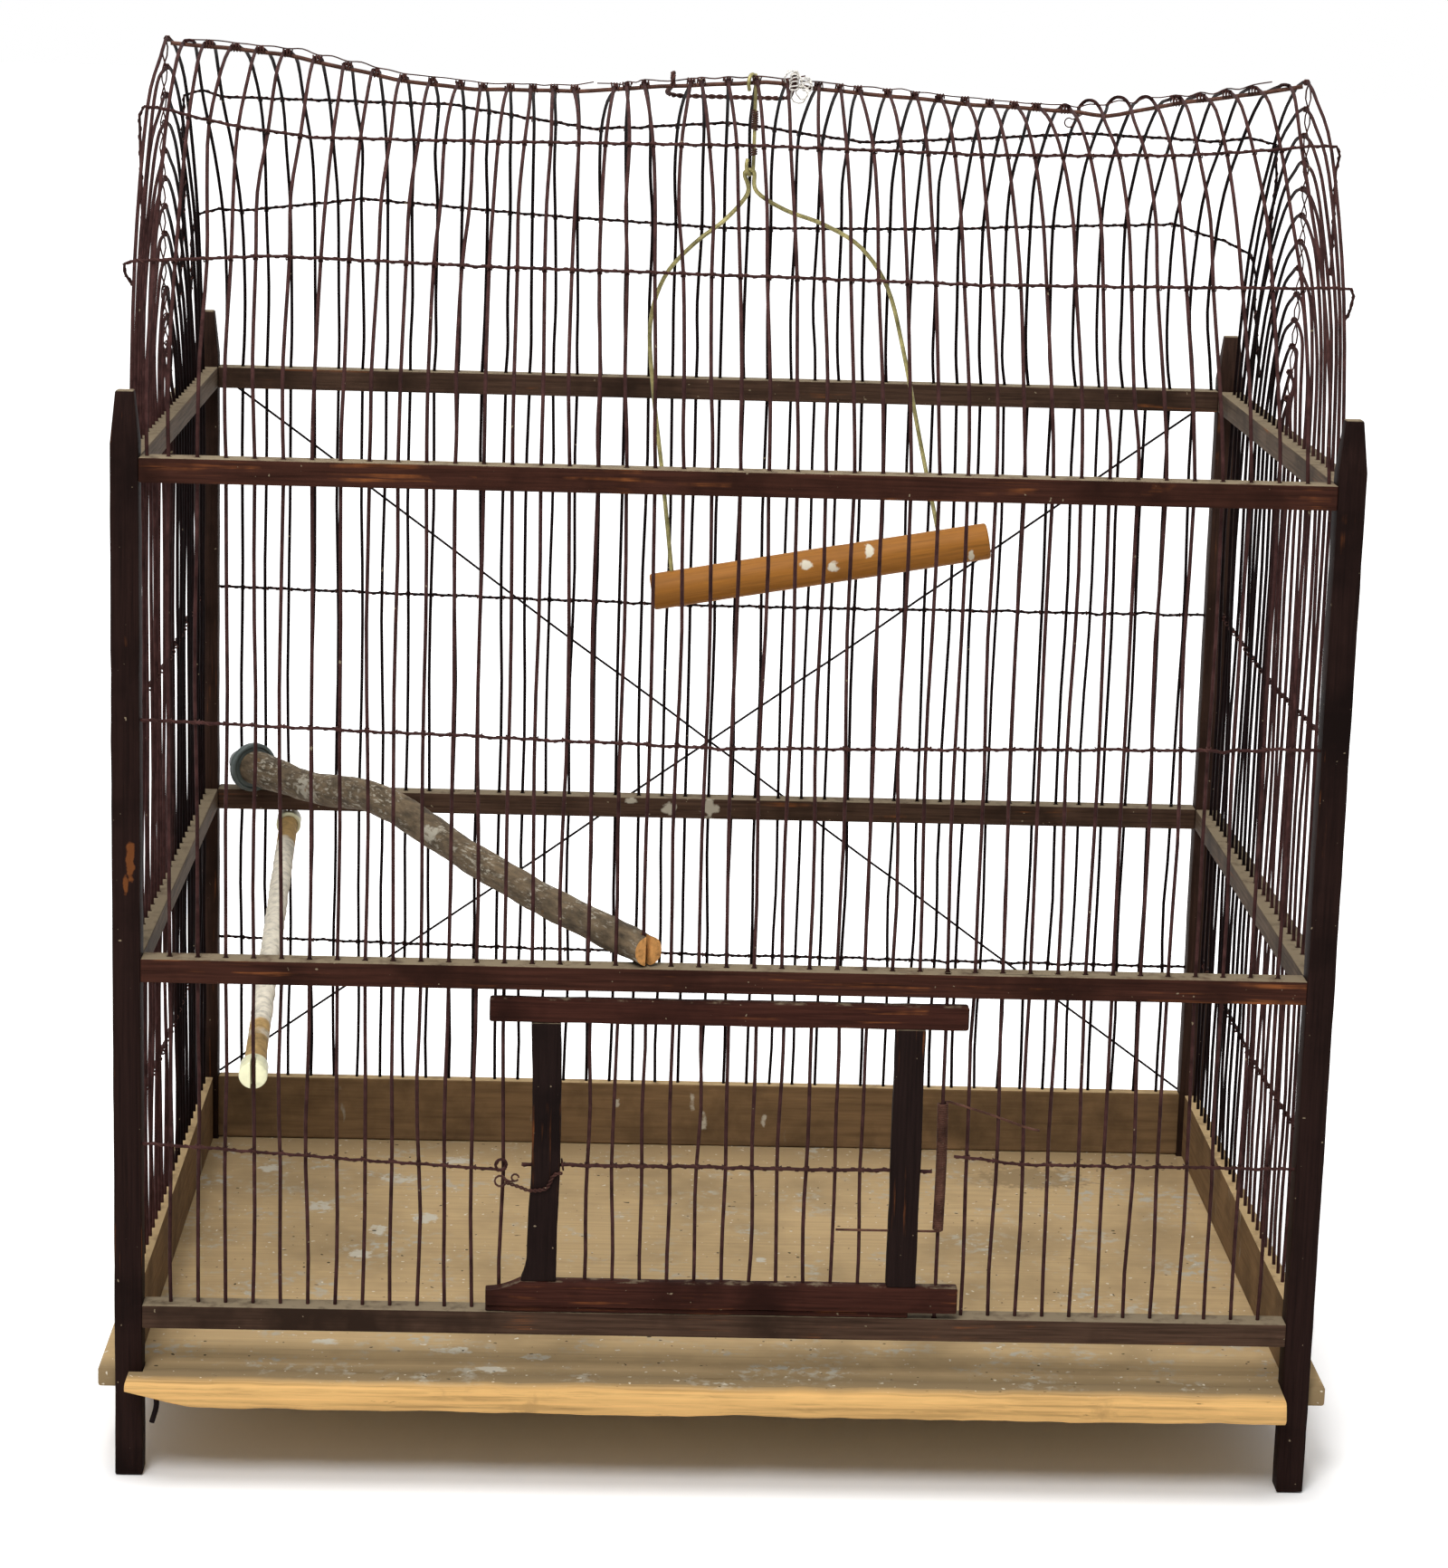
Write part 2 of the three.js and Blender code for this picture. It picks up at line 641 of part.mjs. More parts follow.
// Long wires across the roof, outside its bends, whose ends turn down over the gables
function addRoofWires() {
  const upper = ROOF_BEND_SHARES[2];
  const lower = ROOF_BEND_SHARES[1];
  const tie = WALL_X + CROSS_SETOUT;
  const runs = [
    ['front_upper', -1, upper, FRONT_UPPER_END_SHARES],
    ['front_lower', -1, lower, FRONT_LOWER_END_SHARES],
    ['back_upper', 1, upper, BACK_UPPER_END_SHARES],
    ['back_lower', 1, lower, BACK_LOWER_END_SHARES],
  ];
  runs.forEach(([name, side, [across, up], endShares]) => {
    const y = side * (WALL_Y * across + CROSS_SETOUT);
    const over = (rise) => WALL_TOP + rise * up + CROSS_SETOUT;
    const along = ridgePoints.slice(1, -1).map(([x, rise]) => [x, y, over(rise)]);
    const endOf = (sideX) => {
      const rise = ridgeRise(sideX * WALL_X);
      const down = ([inward, height]) => [
        sideX * tie, side * WALL_Y * inward, WALL_TOP + rise * height,
      ];
      return [[sideX * tie, y, over(rise)], ...endShares.map(down)];
    };
    const points = [...endOf(-1).reverse(), ...along, ...endOf(1)];
    addPart(`roof_wire_${name}`, squareWire(points, CROSS_WIRE), rustyWire);
  });
}

// Heights in the upper and lower storey of the walls, from a share of the storey's height
function upperStorey(share) {
  return MID_RAIL_TOP + (TOP_RAIL_TOP - MID_RAIL_TOP) * share;
}

function lowerStorey(share) {
  return BOARD_TOP + (MID_RAIL_TOP - BOARD_TOP) * share;
}

// Cross wires of the walls, between the posts and outside the upright wires
function addWallWires() {
  const reachX = INNER_HALF_WIDTH - GAP;
  const reachY = INNER_HALF_DEPTH - GAP;
  const y = WALL_Y + CROSS_SETOUT;
  const x = WALL_X + CROSS_SETOUT;
  const alongX = (place, heights) => [-reachX, 0, reachX].map((at, i) => [at, place, heights[i]]);
  const alongY = (place, heights) => [-reachY, 0, reachY].map((at, i) => [place, at, heights[i]]);
  const eyeX = frontWireX(DOOR_FIRST_WIRE - 1);
  const bendX = frontWireX(DOOR_LAST_WIRE + WIRES_TO_BEND);
  const [leftPost, beforeEye, eye] = LEFT_OF_DOOR_SHARES.map(lowerStorey);
  const [besideDoor, atBend, rightPost] = RIGHT_OF_DOOR_SHARES.map(lowerStorey);
  const runs = {
    front_upper: alongX(-y, HIGH_WIRE_SHARES.front.map(upperStorey)),
    back_upper: alongX(y, HIGH_WIRE_SHARES.back.map(upperStorey)),
    left_upper: alongY(-x, HIGH_WIRE_SHARES.left.map(upperStorey)),
    right_upper: alongY(x, HIGH_WIRE_SHARES.right.map(upperStorey)),
    back_lower: alongX(y, LOW_WIRE_SHARES.back.map(lowerStorey)),
    left_lower: alongY(-x, LOW_WIRE_SHARES.left.map(lowerStorey)),
    right_lower: alongY(x, LOW_WIRE_SHARES.right.map(lowerStorey)),
    front_lower_left: [
      [-reachX, -y, leftPost], [eyeX - WIRE_PITCH, -y, beforeEye],
      [eyeX, -y, eye - LINK_EYE], [eyeX + LINK_EYE, -y, eye],
      [eyeX, -y, eye + LINK_EYE], [eyeX - LINK_EYE, -y, eye],
    ],
    front_lower_right: [
      [hingeX + WIRE_PITCH / 2, -y, besideDoor], [bendX, -y, atBend], [reachX, -y, rightPost],
    ],
  };
  Object.entries(runs).forEach(([name, points]) => {
    addPart(`wall_wire_${name}`, squareWire(points, CROSS_WIRE), rustyWire);
  });
}

// Two thin wires crossed over the back of the frame, from corner to corner
function addBraces() {
  const first = HALF_DEPTH + GAP + BRACE_WIRE / 2;
  const second = first + BRACE_WIRE + GAP;
  const high = TOP_RAIL_TOP - RAIL_HEIGHT / 2;
  const reach = INNER_HALF_WIDTH;
  addPart('back_brace_falling', squareWire(
    [[-reach, first, high], [reach, first, BOARD_TOP]], BRACE_WIRE), rustyWire);
  addPart('back_brace_rising', squareWire(
    [[-reach, second, BOARD_TOP], [reach, second, high]], BRACE_WIRE), rustyWire);
}

// Door layout, shared by the door's pieces
const doorBack = -WALL_Y - HALF_WIRE - GAP;
const doorFront = doorBack - DOOR_BAR_DEPTH;
const doorWireY = hingeY;
const doorLeft = frontWireX(DOOR_FIRST_WIRE - 1) - DOOR_BAR_LEFT_LAP;
const doorRight = hingeX + DOOR_BAR_RIGHT_LAP;
const leftStile = doorLeft + LEFT_STILE_FROM_EDGE;
const rightStile = hingeX - RIGHT_STILE_FROM_HINGE - STILE;
const doorBottom = BOTTOM_RAIL_TOP + GAP + SILL_HEIGHT + GAP;
const doorTop = MID_RAIL_TOP - RAIL_HEIGHT - DOOR_UNDER_RAIL;
const bottomBarTop = doorBottom + DOOR_BOTTOM_BAR_HEIGHT;
const topBarBottom = doorTop - DOOR_TOP_BAR_HEIGHT;
const springFrontY = hingeY - SPRING_RADIUS;
const springMiddle = bottomBarTop + (topBarBottom - bottomBarTop) * SPRING_PLACE_SHARE;
const springBottom = springMiddle - SPRING_LENGTH / 2;

function addDoor() {
  addPart('door_top_bar', drilledBar(
    [doorLeft, doorFront, topBarBottom], [doorRight, doorBack, doorTop], [[hingeX, hingeY]]),
  stainedWood);

  // The bottom bar's outer upper corner is worn off, so its outline is drawn from the front
  const worn = new THREE.Shape([
    new THREE.Vector2(doorLeft, doorBottom),
    new THREE.Vector2(doorRight, doorBottom),
    new THREE.Vector2(doorRight, bottomBarTop),
    new THREE.Vector2(doorLeft + WORN_CORNER_LENGTH, bottomBarTop),
    new THREE.Vector2(doorLeft, bottomBarTop - WORN_CORNER_DEPTH),
  ]);
  const bar = new THREE.ExtrudeGeometry(worn, { depth: DOOR_BAR_DEPTH, bevelEnabled: false });
  bar.rotateX(Math.PI / 2);
  bar.translate(0, doorBack, 0);
  const pinHole = drill([hingeX, hingeY], doorBottom, bottomBarTop);
  addPart('door_bottom_bar', cut(bar, [pinHole]), stainedWood);

  // A stile drawn from its side, with a hole through it for each wire that crosses it
  const stile = (left, places) => {
    const side = rectangle(doorFront, doorBack, bottomBarTop, topBarBottom);
    const shape = new THREE.Shape(side.map((point) => new THREE.Vector2(...point)));
    places.forEach((place) => {
      shape.holes.push(new THREE.Path(squareHole(...place).map((p) => new THREE.Vector2(...p))));
    });
    const geometry = new THREE.ExtrudeGeometry(shape, { depth: STILE, bevelEnabled: false });
    geometry.rotateY(Math.PI / 2);
    geometry.rotateX(Math.PI / 2);
    geometry.translate(left, 0, 0);
    return geometry;
  };
  const crossHole = [doorWireY, DOOR_CROSS_HEIGHT];
  addPart('door_stile_left', stile(leftStile, [crossHole]), stainedWood);
  addPart('door_stile_right', stile(rightStile, [crossHole, [springFrontY, springBottom]]), stainedWood);
}

// Upright door wires, held by one cross wire that runs out through both stiles
function addDoorWires() {
  const skin = new Skin();
  const middle = (leftStile + STILE + rightStile) / 2;
  const low = bottomBarTop + GAP;
  const high = topBarBottom - GAP;
  const crossLow = DOOR_CROSS_HEIGHT - HALF_WIRE;
  const crossHigh = DOOR_CROSS_HEIGHT + HALF_WIRE;
  const levels = [low, crossLow, crossHigh, high];
  const [rightFace, leftFace] = [1, 3];
  const side = (x) => [
    [x, doorWireY - HALF_WIRE, crossLow], [x, doorWireY + HALF_WIRE, crossLow],
    [x, doorWireY + HALF_WIRE, crossHigh], [x, doorWireY - HALF_WIRE, crossHigh],
  ];
  const leftEnd = side(leftStile - DOOR_CROSS_OVERRUN);
  const rightEnd = side(hingeX - SPRING_RADIUS - SPRING_WIRE / 2 - GAP - HALF_WIRE);
  skin.startCap(leftEnd);
  let previous = leftEnd;
  for (let i = 0; i < DOOR_WIRES; i += 1) {
    const x = middle + (i - (DOOR_WIRES - 1) / 2) * WIRE_PITCH;
    const section = rectangle(x - HALF_WIRE, x + HALF_WIRE, doorWireY - HALF_WIRE, doorWireY + HALF_WIRE);
    const rings = levels.map((z) => section.map((point) => [...point, z]));
    skin.startCap(rings[0]);
    skin.band(rings[0], rings[1]);
    skin.band(rings[1], rings[2], [rightFace, leftFace]);
    skin.band(rings[2], rings[3]);
    skin.cap(rings[3]);
    skin.band(previous, side(x - HALF_WIRE));
    previous = side(x + HALF_WIRE);
  }
  skin.band(previous, rightEnd);
  skin.cap(rightEnd);
  addPart('door_wires', skin.geometry(), rustyWire);
}

// The upright wire that the door turns on, and the strip under the door
function addHingeAndSill() {
  const pinLow = BOTTOM_RAIL_TOP - PIN_IN_BOTTOM_RAIL;
  const pinHigh = MID_RAIL_TOP - RAIL_HEIGHT + PIN_IN_MID_RAIL;
  addPart('hinge_wire', tube(
    [[hingeX, hingeY, pinLow], [hingeX, hingeY, pinHigh]], HALF_WIRE, PIN_SIDES), rustyWire);
  const sillLow = BOTTOM_RAIL_TOP + GAP;
  addPart('door_sill', boxBetween(
    [doorLeft, -HALF_DEPTH, sillLow],
    [hingeX - SILL_SHORT_OF_HINGE, doorBack, sillLow + SILL_HEIGHT]), stainedWood);
}

// The spring: a lower arm through the right stile, a close coil round the hinge wire
// and an upper arm over the fixed wires beside the door
function addSpring() {
  const pitch = SPRING_LENGTH / SPRING_CURLS;
  const steps = SPRING_CURLS * CURL_STEPS;
  const points = [];
  const front = -Math.PI / 2;
  points.push([hingeX - SPRING_LOWER_ARM, springFrontY, springBottom]);
  points.push([hingeX - SPRING_WIRE, springFrontY, springBottom]);
  for (let k = 0; k <= steps + CURL_STEPS / 2; k += 1) {
    const angle = front + 2 * Math.PI * k / CURL_STEPS;
    points.push([
      hingeX + SPRING_RADIUS * Math.cos(angle),
      hingeY + SPRING_RADIUS * Math.sin(angle),
      springBottom + pitch * k / CURL_STEPS,
    ]);
  }
  const top = points[points.length - 1][2];
  const backY = hingeY + SPRING_RADIUS;
  const lift = pitch / 2;
  const armX = hingeX + SPRING_UPPER_ARM;
  points.pop();
  points.push([hingeX, backY, top + lift]);
  points.push([hingeX + SPRING_WIRE + SPRING_RADIUS, backY, top + lift]);
  points.push([armX - SPRING_UPPER_ARM / 2, backY, top - SPRING_UPPER_ARM_DROP / 2]);
  points.push([armX - SPRING_WIRE, backY, top - SPRING_UPPER_ARM_DROP]);
  points.push([armX, backY, top - SPRING_UPPER_ARM_DROP]);
  addPart('door_spring', tube(points, SPRING_WIRE / 2, THIN_WIRE_SIDES), rustyWire);
  reportSpringGap(points);
}

// Prints the least gap between the spring's curls, measured between points a curl apart
function reportSpringGap(points) {
  let least = Infinity;
  points.forEach((point, i) => {
    for (let k = i + CURL_STEPS / 2; k < points.length; k += 1) {
      least = Math.min(least, Math.hypot(...point.map((value, axis) => value - points[k][axis])));
    }
  });
  console.log(`Least gap between the spring's curls: ${(least - SPRING_WIRE).toFixed(2)} mm`);
}

// The wire link that ties the door shut: a ring round the door's cross wire, a strand
// across the left stile and an eye in front of the fixed wire beside the door
function addLink() {
  const ringX = leftStile + STILE + LINK_FROM_STILE;
  const half = LINK_WIRE / 2;
  const frontY = doorFront - GAP - half;
  const eyeX = frontWireX(DOOR_FIRST_WIRE - 1);
  const eyeZ = DOOR_CROSS_HEIGHT - LINK_SAG;
  const strandZ = DOOR_CROSS_HEIGHT - LINK_SAG / 2;
  const points = [];
  for (let k = 0; k <= OPEN_RING_STEPS; k += 1) {
    const angle = Math.PI + Math.PI / 3 - RING_STEP * k;
    points.push([
      ringX, doorWireY - LINK_RING * Math.cos(angle), DOOR_CROSS_HEIGHT - LINK_RING * Math.sin(angle),
    ]);
  }
  points.push([ringX - half, frontY + half, strandZ + half]);
  points.push([ringX - LINK_WIRE, frontY, strandZ]);
  points.push([leftStile, frontY, strandZ - half]);
  for (let k = 0; k <= OPEN_RING_STEPS; k += 1) {
    const angle = RING_STEP * k;
    points.push([
      eyeX + LINK_EYE * Math.cos(angle), frontY, eyeZ - LINK_EYE * Math.sin(angle),
    ]);
  }
  addPart('latch_link', tube(points, half, THIN_WIRE_SIDES), rustyWire);
}

// The carrying handle lies back on the roof and turns on two rings round the ridge
function addHandle() {
  const crestRise = Math.max(ridgeRise(handleLeft), ridgeRise(handleRight));
  const pivotDrop = ringDrop(HANDLE_RING, HANDLE_WIRE);
  const pivotZ = WALL_TOP + crestRise - pivotDrop;
  // The grip lies just over the roof wires where they fall away behind the ridge
  const [bendAcross, bendUp] = ROOF_BEND_SHARES[2];
  const roofFall = crestRise * (1 - bendUp) * HANDLE_REACH / (WALL_Y * bendAcross);
  const gripFall = roofFall - HALF_WIRE - HANDLE_WIRE / 2 - HANDLE_OVER_ROOF - pivotDrop;
  const slope = Math.atan(gripFall / HANDLE_REACH);
  const place = (x, out) => [x, out * Math.cos(slope), pivotZ - out * Math.sin(slope)];
  const ring = (x) => Array.from({ length: OPEN_RING_STEPS + 1 }, (_, k) => {
    const angle = Math.PI + RING_STEP * (1 - k) - slope;
    return [x, HANDLE_RING * Math.cos(angle), pivotZ + HANDLE_RING * Math.sin(angle)];
  });
  const left = HANDLE_LEFT_SHARES.map(
    ([inward, out]) => place(handleLeft + HANDLE_BOW * inward, HANDLE_REACH * out));
  const right = HANDLE_RIGHT_SHARES.map(
    ([inward, out]) => place(handleRight - HANDLE_BOW * inward, HANDLE_REACH * out));
  const points = [
    ...ring(handleLeft), ...left, ...right.reverse(), ...ring(handleRight).reverse(),
  ];
  addPart('carrying_handle', tube(points, HANDLE_WIRE / 2, WIRE_SIDES), rustyWire);
}

// How far the centre of a stepped ring hangs below the crest line, on the ridge wire
function ringDrop(ring, wire) {
  return ring * Math.cos(RING_STEP / 2) - wire / 2 - GAP - HALF_WIRE;
}

// The swing hangs from a hook over the ridge: the hook tips to front and back,
// and the swing rocks from side to side on the hook's lower bend
function addSwing() {
  const hookTop = WALL_TOP + ridgeRise(hookX) - ringDrop(HOOK_RING, HOOK_WIRE);
  const pivotZ = WALL_TOP + RIDGE_RISE - SWING_PIVOT_DROP;
  const hookLow = pivotZ + HOOK_RING;
  const points = [];
  for (let k = 0; k <= HOOK_STEPS; k += 1) {
    const angle = Math.PI + RING_STEP * (1 - k);
    points.push([hookX, HOOK_RING * Math.cos(angle), hookTop + HOOK_RING * Math.sin(angle)]);
  }
  for (let k = 0; k <= HOOK_STEPS; k += 1) {
    const angle = -RING_STEP * k;
    points.push([hookX, HOOK_RING * Math.cos(angle), hookLow + HOOK_RING * Math.sin(angle)]);
  }
  addPart('swing_hook', tube(points, HOOK_WIRE / 2, WIRE_SIDES), paleWire);

  const swing = new THREE.Group();
  swing.position.set(hookX, 0, pivotZ);
  swing.rotation.y = -SWING_TILT;
  cage.add(swing);

  const bend = HOOK_WIRE / 2 + GAP + SWING_WIRE / 2;
  const arm = SWING_ARM_SHARES.map(
    ([across, down]) => [SWING_HALF_WIDTH * across, -SWING_DROP * down]);
  const top = Array.from({ length: RING_STEPS / 2 + 1 }, (_, k) => {
    const angle = Math.PI - RING_STEP * k;
    return [bend * Math.cos(angle), 0, bend * Math.sin(angle)];
  });
  const wire = [
    ...[...arm].reverse().map(([x, z]) => [-x, 0, z]),
    ...top,
    ...arm.map(([x, z]) => [x, 0, z]),
  ];
  addPart('swing_wire', tube(wire, SWING_WIRE / 2, WIRE_SIDES), paleWire, swing);

  const barLength = 2 * (SWING_HALF_WIDTH + SWING_BAR_OVERHANG);
  const bar = new THREE.CylinderGeometry(SWING_BAR / 2, SWING_BAR / 2, barLength, DISC_SIDES);
  bar.rotateZ(Math.PI / 2);
  bar.translate(SWING_BAR_OFFSET, 0, -SWING_DROP);
  // Each hole follows the last leg of the wire
  const [kneeX, kneeZ] = arm[arm.length - 2];
  const [endX, endZ] = arm[arm.length - 1];
  const legLength = Math.hypot(endX - kneeX, endZ - kneeZ);
  const along = [(endX - kneeX) / legLength, (endZ - kneeZ) / legLength];
  const reach = SWING_BAR / 2 + OVERRUN;
  const holes = [-1, 1].map((side) => tube([
    [side * (endX - along[0] * reach), 0, endZ - along[1] * reach],
    [side * (endX + along[0] * reach), 0, endZ + along[1] * reach],
  ], SWING_WIRE / 2 + GAP, PIN_SIDES));
  addPart('swing_bar', cut(bar, holes), beech, swing);
}

// A grey branch whose slotted ends sit on a back wire and a front wire
function addBranch() {
  const back = [frontWireX(BRANCH_BACK_WIRE), WALL_Y];
  const front = [frontWireX(BRANCH_FRONT_WIRE), -WALL_Y];
  const run = Math.hypot(front[0] - back[0], front[1] - back[1]);
  const backZ = MID_RAIL_TOP + GAP + BRANCH_CAP_RADIUS;
  const frontZ = MID_RAIL_TOP + GAP + BRANCH_RADIUS;
  const perch = new THREE.Group();
  perch.position.set(back[0], back[1], 0);
  perch.rotation.z = Math.atan2(front[1] - back[1], front[0] - back[0]);
  cage.add(perch);

  const slotHalf = HALF_WIRE + SLOT_SLACK;
  const slot = (from, to, z) => boxBetween(
    [from, -slotHalf, z - BRANCH_CAP_RADIUS - OVERRUN],
    [to, slotHalf, z + BRANCH_CAP_RADIUS + OVERRUN]);
  const start = BRANCH_HUB_LENGTH + BRANCH_CAP_THICKNESS + GAP;
  const end = run + PERCH_END_OVERRUN;
  const points = BRANCH_SHARES.map(([along, lift]) => [
    start + (end - start) * along, 0, backZ + (frontZ - backZ) * along + BRANCH_LIFT * lift,
  ]);
  const radii = BRANCH_SHARES.map(([, , girth]) => BRANCH_RADIUS * girth);
  const kerf = slot(run - slotHalf, end + OVERRUN, frontZ);
  addPart('branch_perch', cut(tube(points, radii, BRANCH_SIDES), [kerf]), bark, perch);

  const hub = tube(
    [[-PERCH_END_OVERRUN, 0, backZ], [BRANCH_HUB_LENGTH + GAP, 0, backZ]],
    BRANCH_HUB_RADIUS, PERCH_SIDES);
  const disc = tube(
    [[BRANCH_HUB_LENGTH, 0, backZ], [BRANCH_HUB_LENGTH + BRANCH_CAP_THICKNESS, 0, backZ]],
    BRANCH_CAP_RADIUS, DISC_SIDES);
  const cap = join(disc, [hub]);
  const wireSlot = slot(-PERCH_END_OVERRUN - OVERRUN, slotHalf, backZ);
  addPart('branch_cap', cut(cap, [wireSlot]), greyPlastic, perch);
}

// A plain dowel between a back wire and a front wire, with a slotted cup on each end
function addDowel() {
  const capHalf = DOWEL_CAP / 2;
  const backZ = MID_RAIL_TOP - RAIL_HEIGHT - DOWEL_UNDER_RAIL - capHalf;
  const frontZ = lowerStorey(LEFT_OF_DOOR_SHARES[0]) + DOWEL_OVER_CROSS + capHalf;
  const back = new THREE.Vector3(frontWireX(DOWEL_BACK_WIRE), WALL_Y, backZ);
  const front = new THREE.Vector3(frontWireX(DOWEL_FRONT_WIRE), -WALL_Y, frontZ);
  const run = back.distanceTo(front);
  const level = Math.hypot(back.x - front.x, back.y - front.y);
  const perch = new THREE.Group();
  perch.position.copy(front);
  perch.rotation.order = 'ZXY';
  perch.rotation.x = Math.atan2(back.z - front.z, level);
  perch.rotation.z = Math.atan2(front.x - back.x, back.y - front.y);
  cage.add(perch);

  const slotHalf = HALF_WIRE + SLOT_SLACK;
  const inset = DOWEL_CAP_LENGTH - PERCH_END_OVERRUN;
  const lean = capHalf * (back.z - front.z) / run;
  const seat = slotHalf + lean + DOWEL_CAP_FLOOR;
  const dowel = tube([[0, seat, 0], [0, run - seat, 0]], DOWEL / 2, PERCH_SIDES);
  addPart('dowel_perch', dowel, beech, perch);
  [['front', 0, 1], ['back', run, -1]].forEach(([name, at, inward]) => {
    const outerEnd = at - inward * PERCH_END_OVERRUN;
    const innerEnd = at + inward * inset;
    const [low, high] = inward > 0 ? [outerEnd, innerEnd] : [innerEnd, outerEnd];
    const cup = tube([[0, low, 0], [0, high, 0]], capHalf, PERCH_SIDES);
    const boreFrom = at + inward * (seat - GAP);
    const boreTo = innerEnd + inward * OVERRUN;
    const bore = tube(
      [[0, Math.min(boreFrom, boreTo), 0], [0, Math.max(boreFrom, boreTo), 0]],
      DOWEL / 2 + GAP, PERCH_SIDES);
    const slotFrom = outerEnd - inward * OVERRUN;
    const slotTo = at + inward * (slotHalf + lean);
    const slot = boxBetween(
      [-slotHalf, Math.min(slotFrom, slotTo), -DOWEL_CAP],
      [slotHalf, Math.max(slotFrom, slotTo), DOWEL_CAP]);
    addPart(`dowel_cap_${name}`, cut(cup, [bore, slot]), creamPlastic, perch);
  });
}

addPosts();
addRails();
addBoards();
addFloor();
addHoops();
addGables();
addRidgeRod();
addRoofWires();
addWallWires();
addBraces();
addDoor();
addDoorWires();
addHingeAndSill();
addSpring();
addLink();
addHandle();
addSwing();
addBranch();
addDowel();
cage.position.y = (FLOOR_FRONT_OVERHANG - FLOOR_BACK_OVERHANG) / 2;

export default cage;
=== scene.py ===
import json
import math
from contextlib import contextmanager

import bmesh
import bpy
from mathutils import Matrix, Vector, noise


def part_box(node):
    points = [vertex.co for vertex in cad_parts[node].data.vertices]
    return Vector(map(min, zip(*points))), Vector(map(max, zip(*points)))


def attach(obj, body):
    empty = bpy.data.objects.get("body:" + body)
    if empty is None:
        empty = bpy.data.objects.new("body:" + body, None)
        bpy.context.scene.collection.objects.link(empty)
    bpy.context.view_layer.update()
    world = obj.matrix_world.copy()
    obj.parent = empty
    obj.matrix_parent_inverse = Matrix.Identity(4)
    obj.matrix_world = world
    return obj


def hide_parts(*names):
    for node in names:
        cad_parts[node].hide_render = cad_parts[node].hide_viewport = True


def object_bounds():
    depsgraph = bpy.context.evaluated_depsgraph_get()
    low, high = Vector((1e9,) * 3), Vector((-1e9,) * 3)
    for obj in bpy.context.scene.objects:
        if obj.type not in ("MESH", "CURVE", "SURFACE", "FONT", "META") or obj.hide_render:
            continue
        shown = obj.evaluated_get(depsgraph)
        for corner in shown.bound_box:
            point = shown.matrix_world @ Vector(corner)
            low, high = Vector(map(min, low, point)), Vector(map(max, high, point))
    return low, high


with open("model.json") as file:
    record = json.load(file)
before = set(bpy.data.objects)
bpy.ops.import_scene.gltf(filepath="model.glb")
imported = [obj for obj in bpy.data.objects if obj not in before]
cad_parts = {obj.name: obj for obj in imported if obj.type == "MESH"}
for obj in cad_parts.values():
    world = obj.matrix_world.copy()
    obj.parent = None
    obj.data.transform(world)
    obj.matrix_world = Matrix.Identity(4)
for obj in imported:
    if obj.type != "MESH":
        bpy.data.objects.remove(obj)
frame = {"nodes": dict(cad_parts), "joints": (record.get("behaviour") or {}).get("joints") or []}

bl_info = {
    "name": "Old wire birdcage",
    "version": (1, 0, 0),
    "blender": (4, 5, 0),
    "location": "3D View > Sidebar > Birdcage",
    "description": "Worn wood, round wires, lashings, perches and swing on the packed birdcage",
    "category": "Object",
}

CAD_LOW, CAD_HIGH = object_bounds()
MM = 0.001
HAIR = 0.01 * MM
UP = Vector((0, 0, 1))
EIGHTH, HALF_TURN, TURN = math.pi / 4, math.pi, 2 * math.pi


def vec(x, y, z):
    return Vector((x, y, z))


def centre(node):
    low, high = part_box(node)
    return (low + high) / 2


def pivot_of(name):
    """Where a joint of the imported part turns."""
    return Vector(next(joint for joint in frame["joints"] if joint["name"] == name)["pos_m"])


# Places of the frame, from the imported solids
RAIL_LOW, RAIL_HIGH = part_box("top_rail_front")
SIDE_RAIL_LOW, SIDE_RAIL_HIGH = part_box("top_rail_left")
FRONT_WIRES = 41
SIDE_WIRES = 26
ARCHES = SIDE_WIRES // 2
PITCH = (RAIL_HIGH.x - RAIL_LOW.x) / (FRONT_WIRES + 1)
FRONT_Y, BACK_Y = centre("top_rail_front").y, centre("top_rail_back").y
MIDDLE_Y = (FRONT_Y + BACK_Y) / 2
HALF_DEPTH = (BACK_Y - FRONT_Y) / 2
WALL_X = centre("top_rail_right").x
TOP_LOW, WALL_TOP = RAIL_LOW.z, RAIL_HIGH.z
MID_LOW, MID_TOP = (corner.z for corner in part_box("mid_rail_front"))
BOTTOM_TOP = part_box("bottom_rail_front")[1].z
BOARD_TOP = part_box("bottom_board_back")[1].z
POST = RAIL_HIGH.y - RAIL_LOW.y
POSTS = ("post_front_left", "post_front_right", "post_back_left", "post_back_right")

# How thick the wires of each kind are, and how far apart pieces stand that touch
WIRE = 1.65 * MM
CROSS = 1.3 * MM
LASH = 0.55 * MM
KNOT = 0.6 * MM
GAP = 0.3 * MM
SETOUT = WIRE / 2 + GAP + CROSS / 2
RIDGE_ROD = 1.9 * MM
# How high the ends of the ridge and the lowest arch of each gable stand over the wall tops
RIDGE_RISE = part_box("gable_wires_left")[1].z - 0.75 * MM - WALL_TOP
LOWEST_ARCH_RISE = 16.5 * MM
# Front wires by number: where the ridge's binding is broken, which ones stop over the door, and
# which one the door's link hangs beside
RIDGE_BREAKS = (15, 23)
OVER_DOOR = range(13, 29)
EYE_WIRE = OVER_DOOR.start - 1
# How far the crests of these loose wires stand over the ridge rod, in millimetres
LOOSE_CRESTS = {32: 0.6, 33: 1.6, 34: 4.6, 35: 4.2, 36: 2.6, 37: 1}
